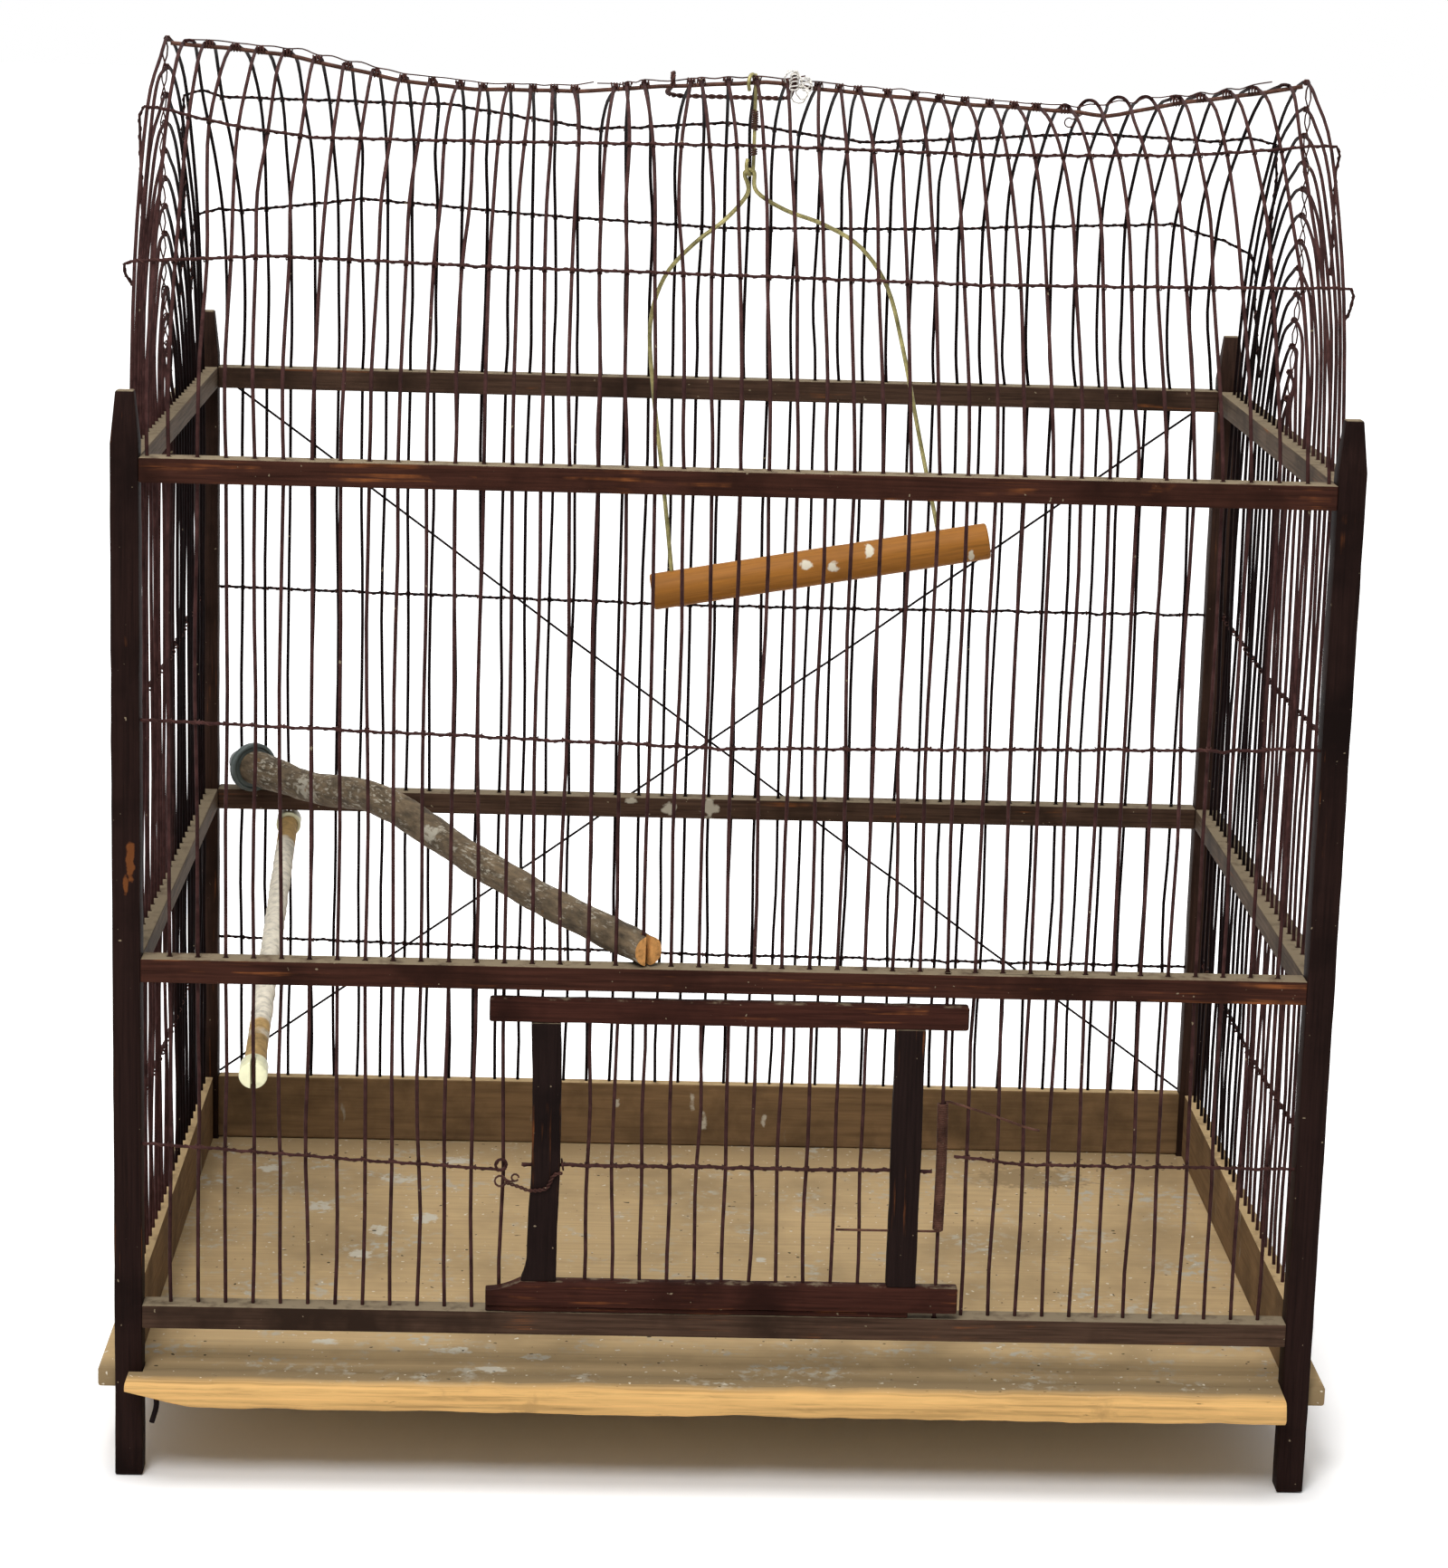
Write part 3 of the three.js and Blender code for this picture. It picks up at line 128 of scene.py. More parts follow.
# How far each crest has slipped along the rod, in millimetres
CREST_SLIPS = (
    0, 0, -0.8, -0.6, 1, 2.4, 3.2, 3.7, 5, 5.5, 3.9, 4, 2.4, 0.3, -2.3, 3.9, -2.7, -6.8, 2.2,
    -5, -5, -3.9, -2.4, 0, -2.2, -5.6, -4.2, -3.8, -4.6, -5, -5.4, -6.2, -8.2, -7, -7.7, -6.5,
    -6.4, -4.5, -5.4, -5.5, -5.5)
# How far the roof wires lean along the cage, in millimetres: for some wires by number, at the
# lower and the upper cross wire of the front and then of the back
ROOF_LEANS = (
    (0, -1.5, -1, 2.7, -2), (1, 0, -4, 2.6, 4.2), (3, -3, -2.7, 2.4, 1), (5, 0.5, 1.5, 1.6, 1.5),
    (8, 0.6, 2.3, 2, 4.3), (10, 0.5, 2.1, 2.5, 4.4), (13, -0.6, 0.2, 0, 0),
    (15, -1.2, 0, -1.8, -2.4), (17, -2, -3.2, -0.5, -2.8), (19, -1.3, -2.5, -0.2, -1.5),
    (22, -1.1, -3.1, -2, -4), (25, -2.2, -2.4, -3.5, -5), (28, -1.4, -3.2, -3.7, -4.5),
    (31, -2, -4.2, -5.6, -5.4), (34, -2, -3.2, -7, -7.4), (37, -2.8, -3.8, -7.5, -7.6),
    (40, -0.5, -4.2, -8, -6.5))
# Shares of the half width, and of the rise, through which each roof cross wire runs
ROOF_TIES = {
    "front_lower": ((-1, 0.458), (-0.78, 0.482), (-0.39, 0.468), (0, 0.462), (0.42, 0.454),
                    (1, 0.467)),
    "front_upper": ((-1, 0.832), (-0.85, 0.787), (-0.72, 0.764), (-0.4, 0.766), (0, 0.774),
                    (0.43, 0.765), (0.74, 0.777), (1, 0.811)),
    "back_lower": ((-1, 0.458), (-0.69, 0.518), (-0.35, 0.483), (0, 0.459), (0.34, 0.47),
                   (0.86, 0.506), (1, 0.42)),
    "back_upper": ((-1, 0.818), (-0.52, 0.813), (-0.25, 0.755), (0, 0.783), (0.25, 0.737),
                   (0.66, 0.779), (1, 0.762)),
}
# Shares of the half depth and the rise at each bend of the roof and of the gables
ROOF_BENDS = ((0.935, 0.255), (0.78, 0.5), (0.465, 0.845))
GABLE_BENDS = ((0.85, 0.46), (0.5, 0.83), (0.22, 0.96))
# Shares of the half width and of the rise by which the ridge sags
RIDGE_SAG = (
    (-1, 0), (-0.8, 0.026), (-0.6, 0.084), (-0.45, 0.103), (-0.28, 0.102), (-0.1, 0.076),
    (0.03, 0.065), (0.25, 0.086), (0.45, 0.112), (0.63, 0.127), (0.78, 0.088), (1, 0.034))

# Places of the door, and how far the swing is tilted
HINGE = centre("hinge_wire")
LEFT_STILE, RIGHT_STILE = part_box("door_stile_left"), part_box("door_stile_right")
DOOR_WIRES = 11
DOOR_CROSS_Z = 146.5 * MM
SPRING_BOTTOM = 119.5 * MM
SWING_TILT = math.radians(10.1)

# How sharp an edge is that wear rounds, and how far apart the dents of worn wood are
SHARP = math.radians(40)
DENTS = 22 * MM


def front_x(index):
    return RAIL_LOW.x + PITCH * (index + 1)


def side_y(index):
    return SIDE_RAIL_LOW.y + PITCH * (index + 1)


# The branch runs from a wire at the back to one in the front
BRANCH_BACK, BRANCH_FRONT = vec(front_x(0), BACK_Y, 0), vec(front_x(17), FRONT_Y, 0)
BRANCH_WAY = (BRANCH_FRONT - BRANCH_BACK).normalized()
BRANCH_ANGLE = math.atan2(BRANCH_WAY.y, BRANCH_WAY.x)


def read_line(table, place, column=1):
    """Reads a table of stations at a place between them."""
    for first, second in zip(table, table[1:]):
        if place <= second[0]:
            break
    share = (place - first[0]) / (second[0] - first[0])
    return first[column] + (second[column] - first[column]) * share


def ridge_station(share):
    """The wire of the front that stands nearest, or the gable."""
    x = share * WALL_X
    return x if abs(share) == 1 else front_x(round((x - RAIL_LOW.x) / PITCH) - 1)


RIDGE = [(ridge_station(share), RIDGE_RISE * (1 - sag)) for share, sag in RIDGE_SAG]


def rise_at(x):
    """How high the ridge stands over the wall tops at a place along it."""
    return read_line(RIDGE, x)


def tie_height(name, x):
    return WALL_TOP + RIDGE_RISE * read_line(ROOF_TIES[name], x / WALL_X)


def stray(seed, place, amount):
    """A repeatable small offset that changes slowly with place."""
    return amount * 1.6 * noise.noise(vec(seed * 3.17 + 0.31, place, seed * 0.73))


# Tools that work as by hand

def only(piece):
    bpy.ops.object.select_all(action="DESELECT")
    piece.select_set(True)
    bpy.context.view_layer.objects.active = piece


@contextmanager
def editing(piece):
    """Edit mode on one piece."""
    only(piece)
    bpy.ops.object.mode_set(mode="EDIT")
    yield
    bpy.ops.object.mode_set(mode="OBJECT")


def pick(piece, kind, test):
    """In edit mode, selects only the corners, edges or faces that pass the test."""
    kinds = ("verts", "edges", "faces")
    bpy.context.tool_settings.mesh_select_mode = [kind == other for other in kinds]
    mesh = bmesh.from_edit_mesh(piece.data)
    for items in (mesh.verts, mesh.edges, mesh.faces):
        for item in items:
            item.select = False
    for item in getattr(mesh, kind):
        if test(item):
            item.select_set(True)
    mesh.select_flush_mode()
    bmesh.update_edit_mesh(piece.data)


def along(axis):
    """A test for edges that run along one axis."""
    def test(edge):
        way = edge.verts[1].co - edge.verts[0].co
        return way.length > 0 and abs(way[axis]) > 0.98 * way.length
    return test


def sharp(edge):
    return len(edge.link_faces) == 2 and edge.calc_face_angle() > SHARP


def round_off(piece, width, segments, test=sharp, clamp=False):
    """In edit mode, rounds the edges that pass the test."""
    pick(piece, "edges", test)
    bpy.ops.mesh.bevel(offset=width, segments=segments, affect="EDGES", clamp_overlap=clamp)


def fix_place(piece, place=None):
    """Turns and moves a piece made in its own axes, and fixes its place in its mesh."""
    if place:
        piece.matrix_world = place
    only(piece)
    bpy.ops.object.transform_apply(location=True, rotation=True, scale=True)
    return piece


def add_box(low, high, place=None):
    """A box between two corners, in a perch's own axes where a place is given."""
    bpy.ops.object.select_all(action="DESELECT")
    bpy.ops.mesh.primitive_cube_add(size=1, location=(low + high) / 2, scale=high - low)
    piece = fix_place(bpy.context.object)
    return fix_place(piece, place) if place else piece


def add_round(radius, length, middle, turn, sides=48):
    """A plain round, its axis turned from Z."""
    bpy.ops.object.select_all(action="DESELECT")
    bpy.ops.mesh.primitive_cylinder_add(vertices=sides, radius=radius, depth=length,
                                        rotation=turn, location=middle)
    return fix_place(bpy.context.object)


def roughen(piece, depth, spread, stretch=1.0, group=""):
    """Moves the surface in and out a little, as age and use do. stretch draws it out along X."""
    cloud = bpy.data.textures.new("unevenness", "CLOUDS")
    cloud.noise_scale = spread
    cloud.noise_depth = 3
    bpy.ops.object.empty_add(location=(0, 0, 0))
    guide = bpy.context.object
    guide.scale.x = stretch
    bpy.context.view_layer.update()
    only(piece)
    bpy.ops.object.modifier_add(type="DISPLACE")
    wave = piece.modifiers[-1]
    wave.texture = cloud
    wave.texture_coords = "OBJECT"
    wave.texture_coords_object = guide
    wave.strength = 2 * depth
    wave.mid_level = 0.5
    wave.vertex_group = group
    bpy.ops.object.modifier_apply(modifier=wave.name)
    bpy.data.objects.remove(guide)
    bpy.data.textures.remove(cloud)


def add_bar(low, high, cuts, edge, wear, shape=None, late=None):
    """A wooden bar with rounded, worn edges. shape and late work on it in edit mode, before
    and after it is divided along its length."""
    piece = add_box(low, high)
    size = high - low
    axis = max(range(3), key=lambda i: size[i])
    with editing(piece):
        if shape:
            shape(piece)
        pick(piece, "edges", lambda e: along(axis)(e) and e.calc_length() > size[axis] / 4)
        bpy.ops.mesh.subdivide(number_cuts=cuts)
        if late:
            late(piece)
        round_off(piece, edge, 2, clamp=True)
    roughen(piece, wear, DENTS)
    return piece


def mend(piece):
    """Closes the seams of a piece made from a curve, so that it is one solid."""
    with editing(piece):
        bpy.ops.mesh.select_all(action="SELECT")
        bpy.ops.mesh.remove_doubles(threshold=HAIR)
        bpy.ops.mesh.normals_make_consistent(inside=False)


def cut_away(piece, *cutters):
    """Takes other pieces out of a piece and deletes them."""
    for cutter in cutters:
        only(piece)
        bpy.ops.object.modifier_add(type="BOOLEAN")
        hollow = piece.modifiers[-1]
        hollow.operation = "DIFFERENCE"
        hollow.solver = "EXACT"
        hollow.object = cutter
        bpy.ops.object.modifier_apply(modifier=hollow.name)
        bpy.data.objects.remove(cutter)


def join(*pieces):
    only(pieces[0])
    for piece in pieces[1:]:
        piece.select_set(True)
    bpy.ops.object.join()
    return bpy.context.object


def lay_wires(runs, thickness, sides=8, closed=False, girths=None):
    """Round wires along runs of points, turned into one mesh."""
    bpy.ops.object.select_all(action="DESELECT")
    bpy.ops.object.add(type="CURVE", location=(0, 0, 0))
    curve = bpy.context.object.data
    curve.dimensions = "3D"
    curve.bevel_depth = thickness / 2
    curve.bevel_resolution = (sides - 4) // 2
    curve.use_fill_caps = True
    for run in runs:
        spline = curve.splines.new("POLY")
        spline.points.add(len(run) - 1)
        spline.use_cyclic_u = closed
        for point, place, girth in zip(spline.points, run, girths or [1] * len(run)):
            point.co = (*place, 1)
            point.radius = girth
    bpy.ops.object.convert(target="MESH")
    return bpy.context.object


def smooth(points, steps=4):
    """A soft line through the points."""
    line = []
    for k in range(len(points) - 1):
        b, c = points[k], points[k + 1]
        a, d = points[max(k - 1, 0)], points[min(k + 2, len(points) - 1)]
        for step in range(steps):
            t = step / steps
            line.append(0.5 * (2 * b + (c - a) * t + (2 * a - 5 * b + 4 * c - d) * t * t
                               + (3 * b - a - 3 * c + d) * t * t * t))
    return line + [points[-1]]


def arc(middle, first, second, start, step, count, drift=vec(0, 0, 0)):
    """Points round a middle. first reaches to the angle 0 and second to a quarter turn."""
    return [middle + first * math.cos(start + step * k) + second * math.sin(start + step * k)
            + drift * k for k in range(count)]


def wind(path, radius, pitch, start=0.0, per_turn=6):
    """A helix round a path."""
    lengths = [0.0]
    for a, b in zip(path, path[1:]):
        lengths.append(lengths[-1] + (b - a).length)
    total = lengths[-1]
    count = max(2, int(total / pitch * per_turn))
    line, leg, side = [], 0, None
    for k in range(count + 1):
        place = total * k / count
        while leg < len(path) - 2 and lengths[leg + 1] < place:
            leg += 1
        ahead = (path[leg + 1] - path[leg]).normalized()
        share = (place - lengths[leg]) / max(lengths[leg + 1] - lengths[leg], 1e-9)
        point = path[leg].lerp(path[leg + 1], share)
        if side is None:
            side = ahead.cross(UP if abs(ahead.z) < 0.9 else vec(1, 0, 0))
        side = (side - ahead * side.dot(ahead)).normalized()
        other = ahead.cross(side)
        angle = start + TURN * place / pitch
        line.append(point + side * radius * math.cos(angle) + other * radius * math.sin(angle))
    return line


def twisted(path, radius, pitch, per_turn=6):
    """Two strands wound round each other."""
    return [wind(path, radius, pitch, start, per_turn) for start in (0, HALF_TURN)]


def knots(crossings, radius, thickness):
    """Two small rings of thin wire over each place where two wires meet. A crossing is its
    place and the ways of both wires."""
    rings = []
    for place, first, second in crossings:
        outward = first.cross(second).normalized()
        for way in (first + second, first - second):
            across = way.normalized().cross(outward)
            rings.append(arc(place, outward * radius, across * radius * 1.15,
                             0, math.pi / 3, 6))
    return lay_wires(rings, thickness, sides=4, closed=True)


def lashing(run, thickness):
    """The fine wire that is wound along a cross wire."""
    return lay_wires([wind(run, thickness * 0.5 + LASH * 0.3, sizes().lash_pitch)], LASH, sides=4)


def settle(piece, name, finish, replaces=None, body="cage", angle=45):
    """Names a finished piece, gives it its finish and hangs it on its body."""
    piece.name = name
    piece.data.name = name
    piece.data.materials.clear()
    piece.data.materials.append(finish_of(finish))
    only(piece)
    bpy.ops.object.shade_smooth_by_angle(angle=math.radians(angle))
    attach(piece, body)
    if replaces:
        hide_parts(replaces)


def dress(node, finish, edge):
    """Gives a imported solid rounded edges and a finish, and leaves its mesh as it is."""
    solid = frame["nodes"][node]
    weld = solid.modifiers.new("merge", "WELD")
    weld.merge_threshold = HAIR
    bevel = solid.modifiers.new("worn_edges", "BEVEL")
    bevel.width = edge
    bevel.segments = 2
    bevel.limit_method = "ANGLE"
    bevel.angle_limit = SHARP
    solid.data.materials.clear()
    solid.data.materials.append(finish_of(finish))


# Finishes

WHITE = (1, 1, 1, 1)
BLACK = (0, 0, 0, 1)


def linear(code):
    """A colour from its sRGB hex value to linear."""
    def channel(value):
        return value / 12.92 if value <= 0.04045 else ((value + 0.055) / 1.055) ** 2.4
    parts = [channel(int(code[k:k + 2], 16) / 255) for k in (0, 2, 4)]
    return (*parts, 1.0)


def shade(colour, share):
    """A colour made darker or lighter."""
    return (*(min(1.0, part * share) for part in colour[:3]), 1.0)


def tint(name, share=1):
    """A colour of the moment, made darker or lighter."""
    return shade(getattr(bpy.context.scene.birdcage_colours, name), share)


def add_node(tree, kind, sockets, out=0, stops=(), **settings):
    """Adds a node with its settings, and with a value or a link for each named socket, and
    gives one of its outputs."""
    node = tree.nodes.new("ShaderNode" + kind)
    for key, value in settings.items():
        setattr(node, key, value)
    if stops:
        ramp = node.color_ramp.elements
        while len(ramp) < len(stops):
            ramp.new(0.5)
        for stop, (place, colour) in zip(ramp, stops):
            stop.position, stop.color = place, colour
    for key, value in sockets.items():
        if isinstance(value, bpy.types.NodeSocket):
            tree.links.new(value, node.inputs[key])
        else:
            node.inputs[key].default_value = value
    return node.outputs[out]


def start_finish(name, roughness, specular, metallic=0.0):
    """A material with its constants on the shader; gives it with its tree and Object place."""
    finish = bpy.data.materials.new(name)
    finish.use_nodes = True
    tree = finish.node_tree
    sockets = tree.nodes["Principled BSDF"].inputs
    sockets["Roughness"].default_value = roughness
    sockets["Metallic"].default_value = metallic
    sockets["Specular IOR Level"].default_value = specular
    return finish, tree, add_node(tree, "TexCoord", {}, "Object")


def end_finish(finish, colour, height, strength=0.3, depth=0.15 * MM):
    """Links the colour and the fine unevenness to the shader."""
    tree = finish.node_tree
    sockets = tree.nodes["Principled BSDF"].inputs
    bump = add_node(tree, "Bump", {"Height": height, "Strength": strength, "Distance": depth})
    tree.links.new(colour, sockets["Base Color"])
    tree.links.new(bump, sockets["Normal"])
    return finish


def mottled(tree, place, colour, dark, light, size=1.0, detail=5.0):
    """Clouds of one colour, from dark to light; gives their height and their colour."""
    height = add_node(tree, "TexNoise", {
        "Vector": place, "Scale": 1 / size, "Detail": detail, "Roughness": 0.62})
    return height, add_node(tree, "ValToRGB", {"Fac": height}, stops=(
        (0.3, shade(colour, dark)), (0.5, shade(colour, 1)), (0.73, shade(colour, light))))


def patches(tree, place, size, low, high, detail=4.0):
    """A soft mask of patches of about the given size. Higher bounds leave fewer of them."""
    cloud = add_node(tree, "TexNoise", {
        "Vector": place, "Scale": 1 / size, "Detail": detail, "Roughness": 0.6})
    return add_node(tree, "ValToRGB", {"Fac": cloud}, stops=((low, BLACK), (high, WHITE)))


def where(tree, *masks):
    """A mask of the places where all of the masks meet."""
    mask = masks[0]
    for other in masks[1:]:
        mask = add_node(tree, "Math", {0: mask, 1: other}, operation="MULTIPLY")
    return mask


def marks_at(tree, place, marks):
    """A ragged mask over single marks: the middle of each and its reach each way, in mm."""
    ragged = add_node(tree, "TexNoise", {"Vector": place, "Scale": 1 / (4 * MM), "Detail": 5.0})
    mask = 0.0
    for middle, reach in marks:
        near = add_node(tree, "Mapping", {
            "Vector": place, "Location": Vector(middle) * MM, "Scale": Vector(reach) * MM},
            vector_type="TEXTURE")
        away = add_node(tree, "VectorMath", {0: near}, "Value", operation="LENGTH")
        edge = add_node(tree, "Math", {0: ragged, 1: 2.0, 2: away}, operation="MULTIPLY_ADD")
        inside = add_node(tree, "MapRange", {"Value": edge, "From Min": 2.0, "From Max": 1.7})
        mask = add_node(tree, "Math", {0: inside, 1: mask}, operation="MAXIMUM")
    return mask


def lay_over(tree, colour, *layers):
    """Lays colours over a first one, each through its mask."""
    for mask, over in layers:
        colour = add_node(tree, "Mix", {0: mask, 6: colour, 7: over}, 2, data_type="RGBA")
    return colour


def along_grain(tree, place, axis, width, length):
    """A place squeezed along one axis, so that grain runs that way."""
    scale = [1 / width] * 3
    scale[axis] = 1 / length
    return add_node(tree, "Mapping", {"Vector": place, "Scale": scale})


def dusty(tree, place, size, low=0.2, high=0.5):
    """A mask of the faces that look up, where dust settles. Higher bounds leave less of it."""
    normal = add_node(tree, "NewGeometry", {}, "Normal")
    height = add_node(tree, "SeparateXYZ", {0: normal}, "Z")
    upward = add_node(tree, "MapRange", {"Value": height, "From Min": 0.55, "From Max": 0.9})
    return where(tree, upward, patches(tree, place, size, low, high))


def specks(tree, place, size, low=0.77, high=0.79):
    """A mask of a few small, hard specks."""
    return patches(tree, place, size, low, high, 1.0)


def depth_of(tree, place, low, high):
    """0 to 1 between two places from the front of the cage to its back."""
    depth = add_node(tree, "SeparateXYZ", {0: place}, "Y")
    return add_node(tree, "MapRange", {"Value": depth, "From Min": low, "From Max": high})


# Single marks that the photograph shows: the middle of each and its reach each way, in mm
WORN_POST = (((-256, -169.5, 280), (2, 3, 10)), ((-258, -169.5, 268), (1.2, 3, 5)))
PEELED_RAIL = (((-20, 166.5, 231), (3.4, 3, 4)), ((1, 166.5, 231), (5, 3, 5)),
               ((-40, 166.5, 234), (3, 3, 2)))
BAR_DROPPING = (((-70.2, -176, 92.3), (1.6, 3, 1.6)),)
BOARD_DRIPS = (((-43, 166.5, 72), (3, 3, 8)), ((-4, 166.5, 72), (2.4, 3, 8)),
               ((2, 166.5, 62), (3, 3, 9)), ((34, 166.5, 63), (2, 3, 6)))
BEECH_DROPPINGS = (((37, -4, 387), (3, 8, 2.4)), ((50, -4, 386), (2.6, 8, 3.2)),
                   ((66, -4, 394), (2.6, 8, 3)), ((114, -4, 392), (1.6, 8, 3)))
# These along the branch, from the turned place of its finish
PEELED_BARK = (((-185, -121.5, 253), (14, 7, 6)), ((-60, -121.5, 257), (9, 6, 4)))
FLOOR_DROPPINGS = (
    ((-154, 105, 48), (9, 8, 4)), ((-138, 45, 48), (7, 9, 4)), ((-166, -10, 48), (6, 7, 4)),
    ((-128, 136, 48), (10, 6, 4)), ((-190, 59, 48), (7, 9, 4)), ((-160, 25, 48), (5, 9, 4)),
    ((-220, 119, 48), (6, 7, 4)), ((-174, -129, 48), (7, 4, 4)), ((-117, -138, 48), (9, 5, 4)),
    ((-80, -144, 48), (7, 4, 4)), ((-100, -160, 48), (10, 4, 4)), ((26, -9, 48), (3, 4, 4)))
FLOOR_DAMP = (((171, 124, 48), (32, 19, 8)), ((10, -168, 48), (13, 4, 8)),
              ((-45, -168, 48), (30, 4, 8)))


def stained_wood(name, axis, stain, worn=0.0, marks=(), over=None, tones=(0.5, 1.5),
                 dust=(0.2, 0.5)):
    """Old softwood under a dark red-brown stain: nearly black in the pores, rubbed to orange
    by hands and wires, grey with dust on top. worn widens the rubbed patches."""
    finish, tree, place = start_finish(name, 0.65, 0.04)
    grained = along_grain(tree, place, axis, 1.3 * MM, 42 * MM)
    height, colour = mottled(tree, grained, tint(stain), *tones)
    rubbed = where(tree, patches(tree, grained, 1.8, 0.58 - worn, 0.72 - worn),
                   patches(tree, place, 38 * MM, 0.53 - worn, 0.66 - worn))
    layers = [
        (patches(tree, place, 52 * MM, 0.48, 0.68), tint(stain, 0.4)), (rubbed, tint("rubbed")),
        (dusty(tree, place, 8 * MM, *dust), tint("dust")),
        (specks(tree, place, 2.4 * MM, 0.78, 0.8), tint("dust"))]
    if marks:
        layers.append((marks_at(tree, place, marks), tint(*over)))
    return end_finish(finish, lay_over(tree, colour, *layers), height, 0.35, 0.4 * MM)


def bare_board(name, axis):
    """Bare boards round the foot: grey-brown, water-marked, with chalky droppings."""
    finish, tree, place = start_finish(name, 0.85, 0.2)
    grained = along_grain(tree, place, axis, 2.4 * MM, 48 * MM)
    height, colour = mottled(tree, grained, tint("board"), 0.7, 1.25, detail=6.0)
    running = along_grain(tree, place, 2, 13 * MM, 45 * MM)
    return end_finish(finish, lay_over(
        tree, colour, (patches(tree, place, 58 * MM, 0.54, 0.7, 6.0), tint("board", 1.3)),
        (patches(tree, place, 42 * MM, 0.47, 0.68, 6.0), tint("board", 0.5)),
        (patches(tree, running, 1.0, 0.65, 0.72, 6.0), tint("droppings", 0.5)),
        (marks_at(tree, place, BOARD_DRIPS), tint("droppings", 0.75)),
        (dusty(tree, place, 11 * MM), tint("floor", 0.95))), height, 0.4, 0.5 * MM)


def floor_pine(name):
    """The pine floor: greyed with dust and speckled with droppings, raw and orange at its lip."""
    finish, tree, place = start_finish(name, 0.9, 0.2)
    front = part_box("floor_board")[0].y
    grained = along_grain(tree, place, 0, 2.2 * MM, 95 * MM)
    height, colour = mottled(tree, grained, tint("floor"), 0.85, 1.1, detail=6.0)
    trodden = where(tree, depth_of(tree, place, front + 5 * MM, front + 11 * MM),
                    depth_of(tree, place, front + 34 * MM, front + 20 * MM))
    speckled = where(tree, patches(tree, place, 28 * MM, 0.5, 0.66, 6.0),
                     patches(tree, place, 5 * MM, 0.5, 0.62, 2.0))
    spotted = where(tree, marks_at(tree, place, FLOOR_DROPPINGS),
                    patches(tree, place, 9 * MM, 0.38, 0.5))
    colour = lay_over(
        tree, colour, (patches(tree, place, 66 * MM, 0.45, 0.7), tint("floor", 0.68)),
        (depth_of(tree, place, BACK_Y - 45 * MM, BACK_Y - 8 * MM), tint("floor", 0.7)),
        (marks_at(tree, place, FLOOR_DAMP), tint("floor", 0.62)), (trodden, tint("floor", 0.5)),
        (speckled, tint("droppings", 0.66)), (spotted, tint("droppings", 0.85)),
        (specks(tree, place, 3 * MM, 0.72, 0.75), tint("droppings")),
        (specks(tree, place, 3.8 * MM, 0.745, 0.77), tint("floor", 0.12)))
    _, raw = mottled(tree, grained, tint("lip"), 0.55, 1.25, detail=6.0)
    knocked = along_grain(tree, place, 0, 5 * MM, 22 * MM)
    raw = lay_over(
        tree, raw, (patches(tree, place, 26 * MM, 0.62, 0.72, 6.0), tint("lip", 0.68)),
        (patches(tree, knocked, 1.0, 0.66, 0.72, 6.0), tint("lip", 0.2)))
    depth = add_node(tree, "SeparateXYZ", {0: place}, "Y")
    ragged = add_node(tree, "Math", {0: height, 1: 12 * MM, 2: depth}, operation="MULTIPLY_ADD")
    at_lip = add_node(tree, "MapRange", {
        "Value": ragged, "From Min": front + 18 * MM, "From Max": front + 9 * MM})
    return end_finish(finish, lay_over(tree, colour, (at_lip, raw)), height, 0.35, 0.5 * MM)


def thin_wire(name, colour, roughness=0.55, metallic=0.0):
    """Thin wire mottled by rust or tarnish, with a few pale specks of dust."""
    finish, tree, place = start_finish(name, roughness, 0.05, metallic)
    height, tone = mottled(tree, place, tint(colour), 0.45, 1.8, 7 * MM, 4.0)
    return end_finish(finish, lay_over(tree, tone, (specks(tree, place, 3.3 * MM), tint("dust"))),
                      height)


def rusty_steel(name):
    """Steel wire under old brown-purple rust, with droppings on some of it. Towards the back of
    the cage it turns nearly black, which is painted shade."""
    finish, tree, place = start_finish(name, 0.6, 0.03)
    height, lit = mottled(tree, place, tint("front_wires"), 0.55, 1.7, 7 * MM, 4.0)
    # Painted shade: behind the middle of the cage the wires take a near-black copy of their rust
    _, dark = mottled(tree, place, tint("back_wires"), 0.45, 1.8, 7 * MM, 4.0)
    return end_finish(finish, lay_over(
        tree, lit, (depth_of(tree, place, MIDDLE_Y - 20 * MM, MIDDLE_Y + 25 * MM), dark),
        (specks(tree, place, 3.8 * MM, 0.775, 0.795), tint("dust"))), height)


def turned_beech(name):
    """Turned beech: warm orange with fine dark flecks along it and a few white droppings."""
    finish, tree, place = start_finish(name, 0.55, 0.15)
    turned = add_node(tree, "Mapping", {"Vector": place, "Rotation": (0, SWING_TILT, 0)})
    grained = along_grain(tree, turned, 0, 1.1 * MM, 26 * MM)
    height, colour = mottled(tree, grained, tint("beech"), 0.72, 1.22)
    return end_finish(finish, lay_over(
        tree, colour, (patches(tree, place, 33 * MM, 0.5, 0.7), tint("beech", 0.82)),
        (marks_at(tree, place, BEECH_DROPPINGS), tint("droppings"))), height, 0.15, 0.2 * MM)


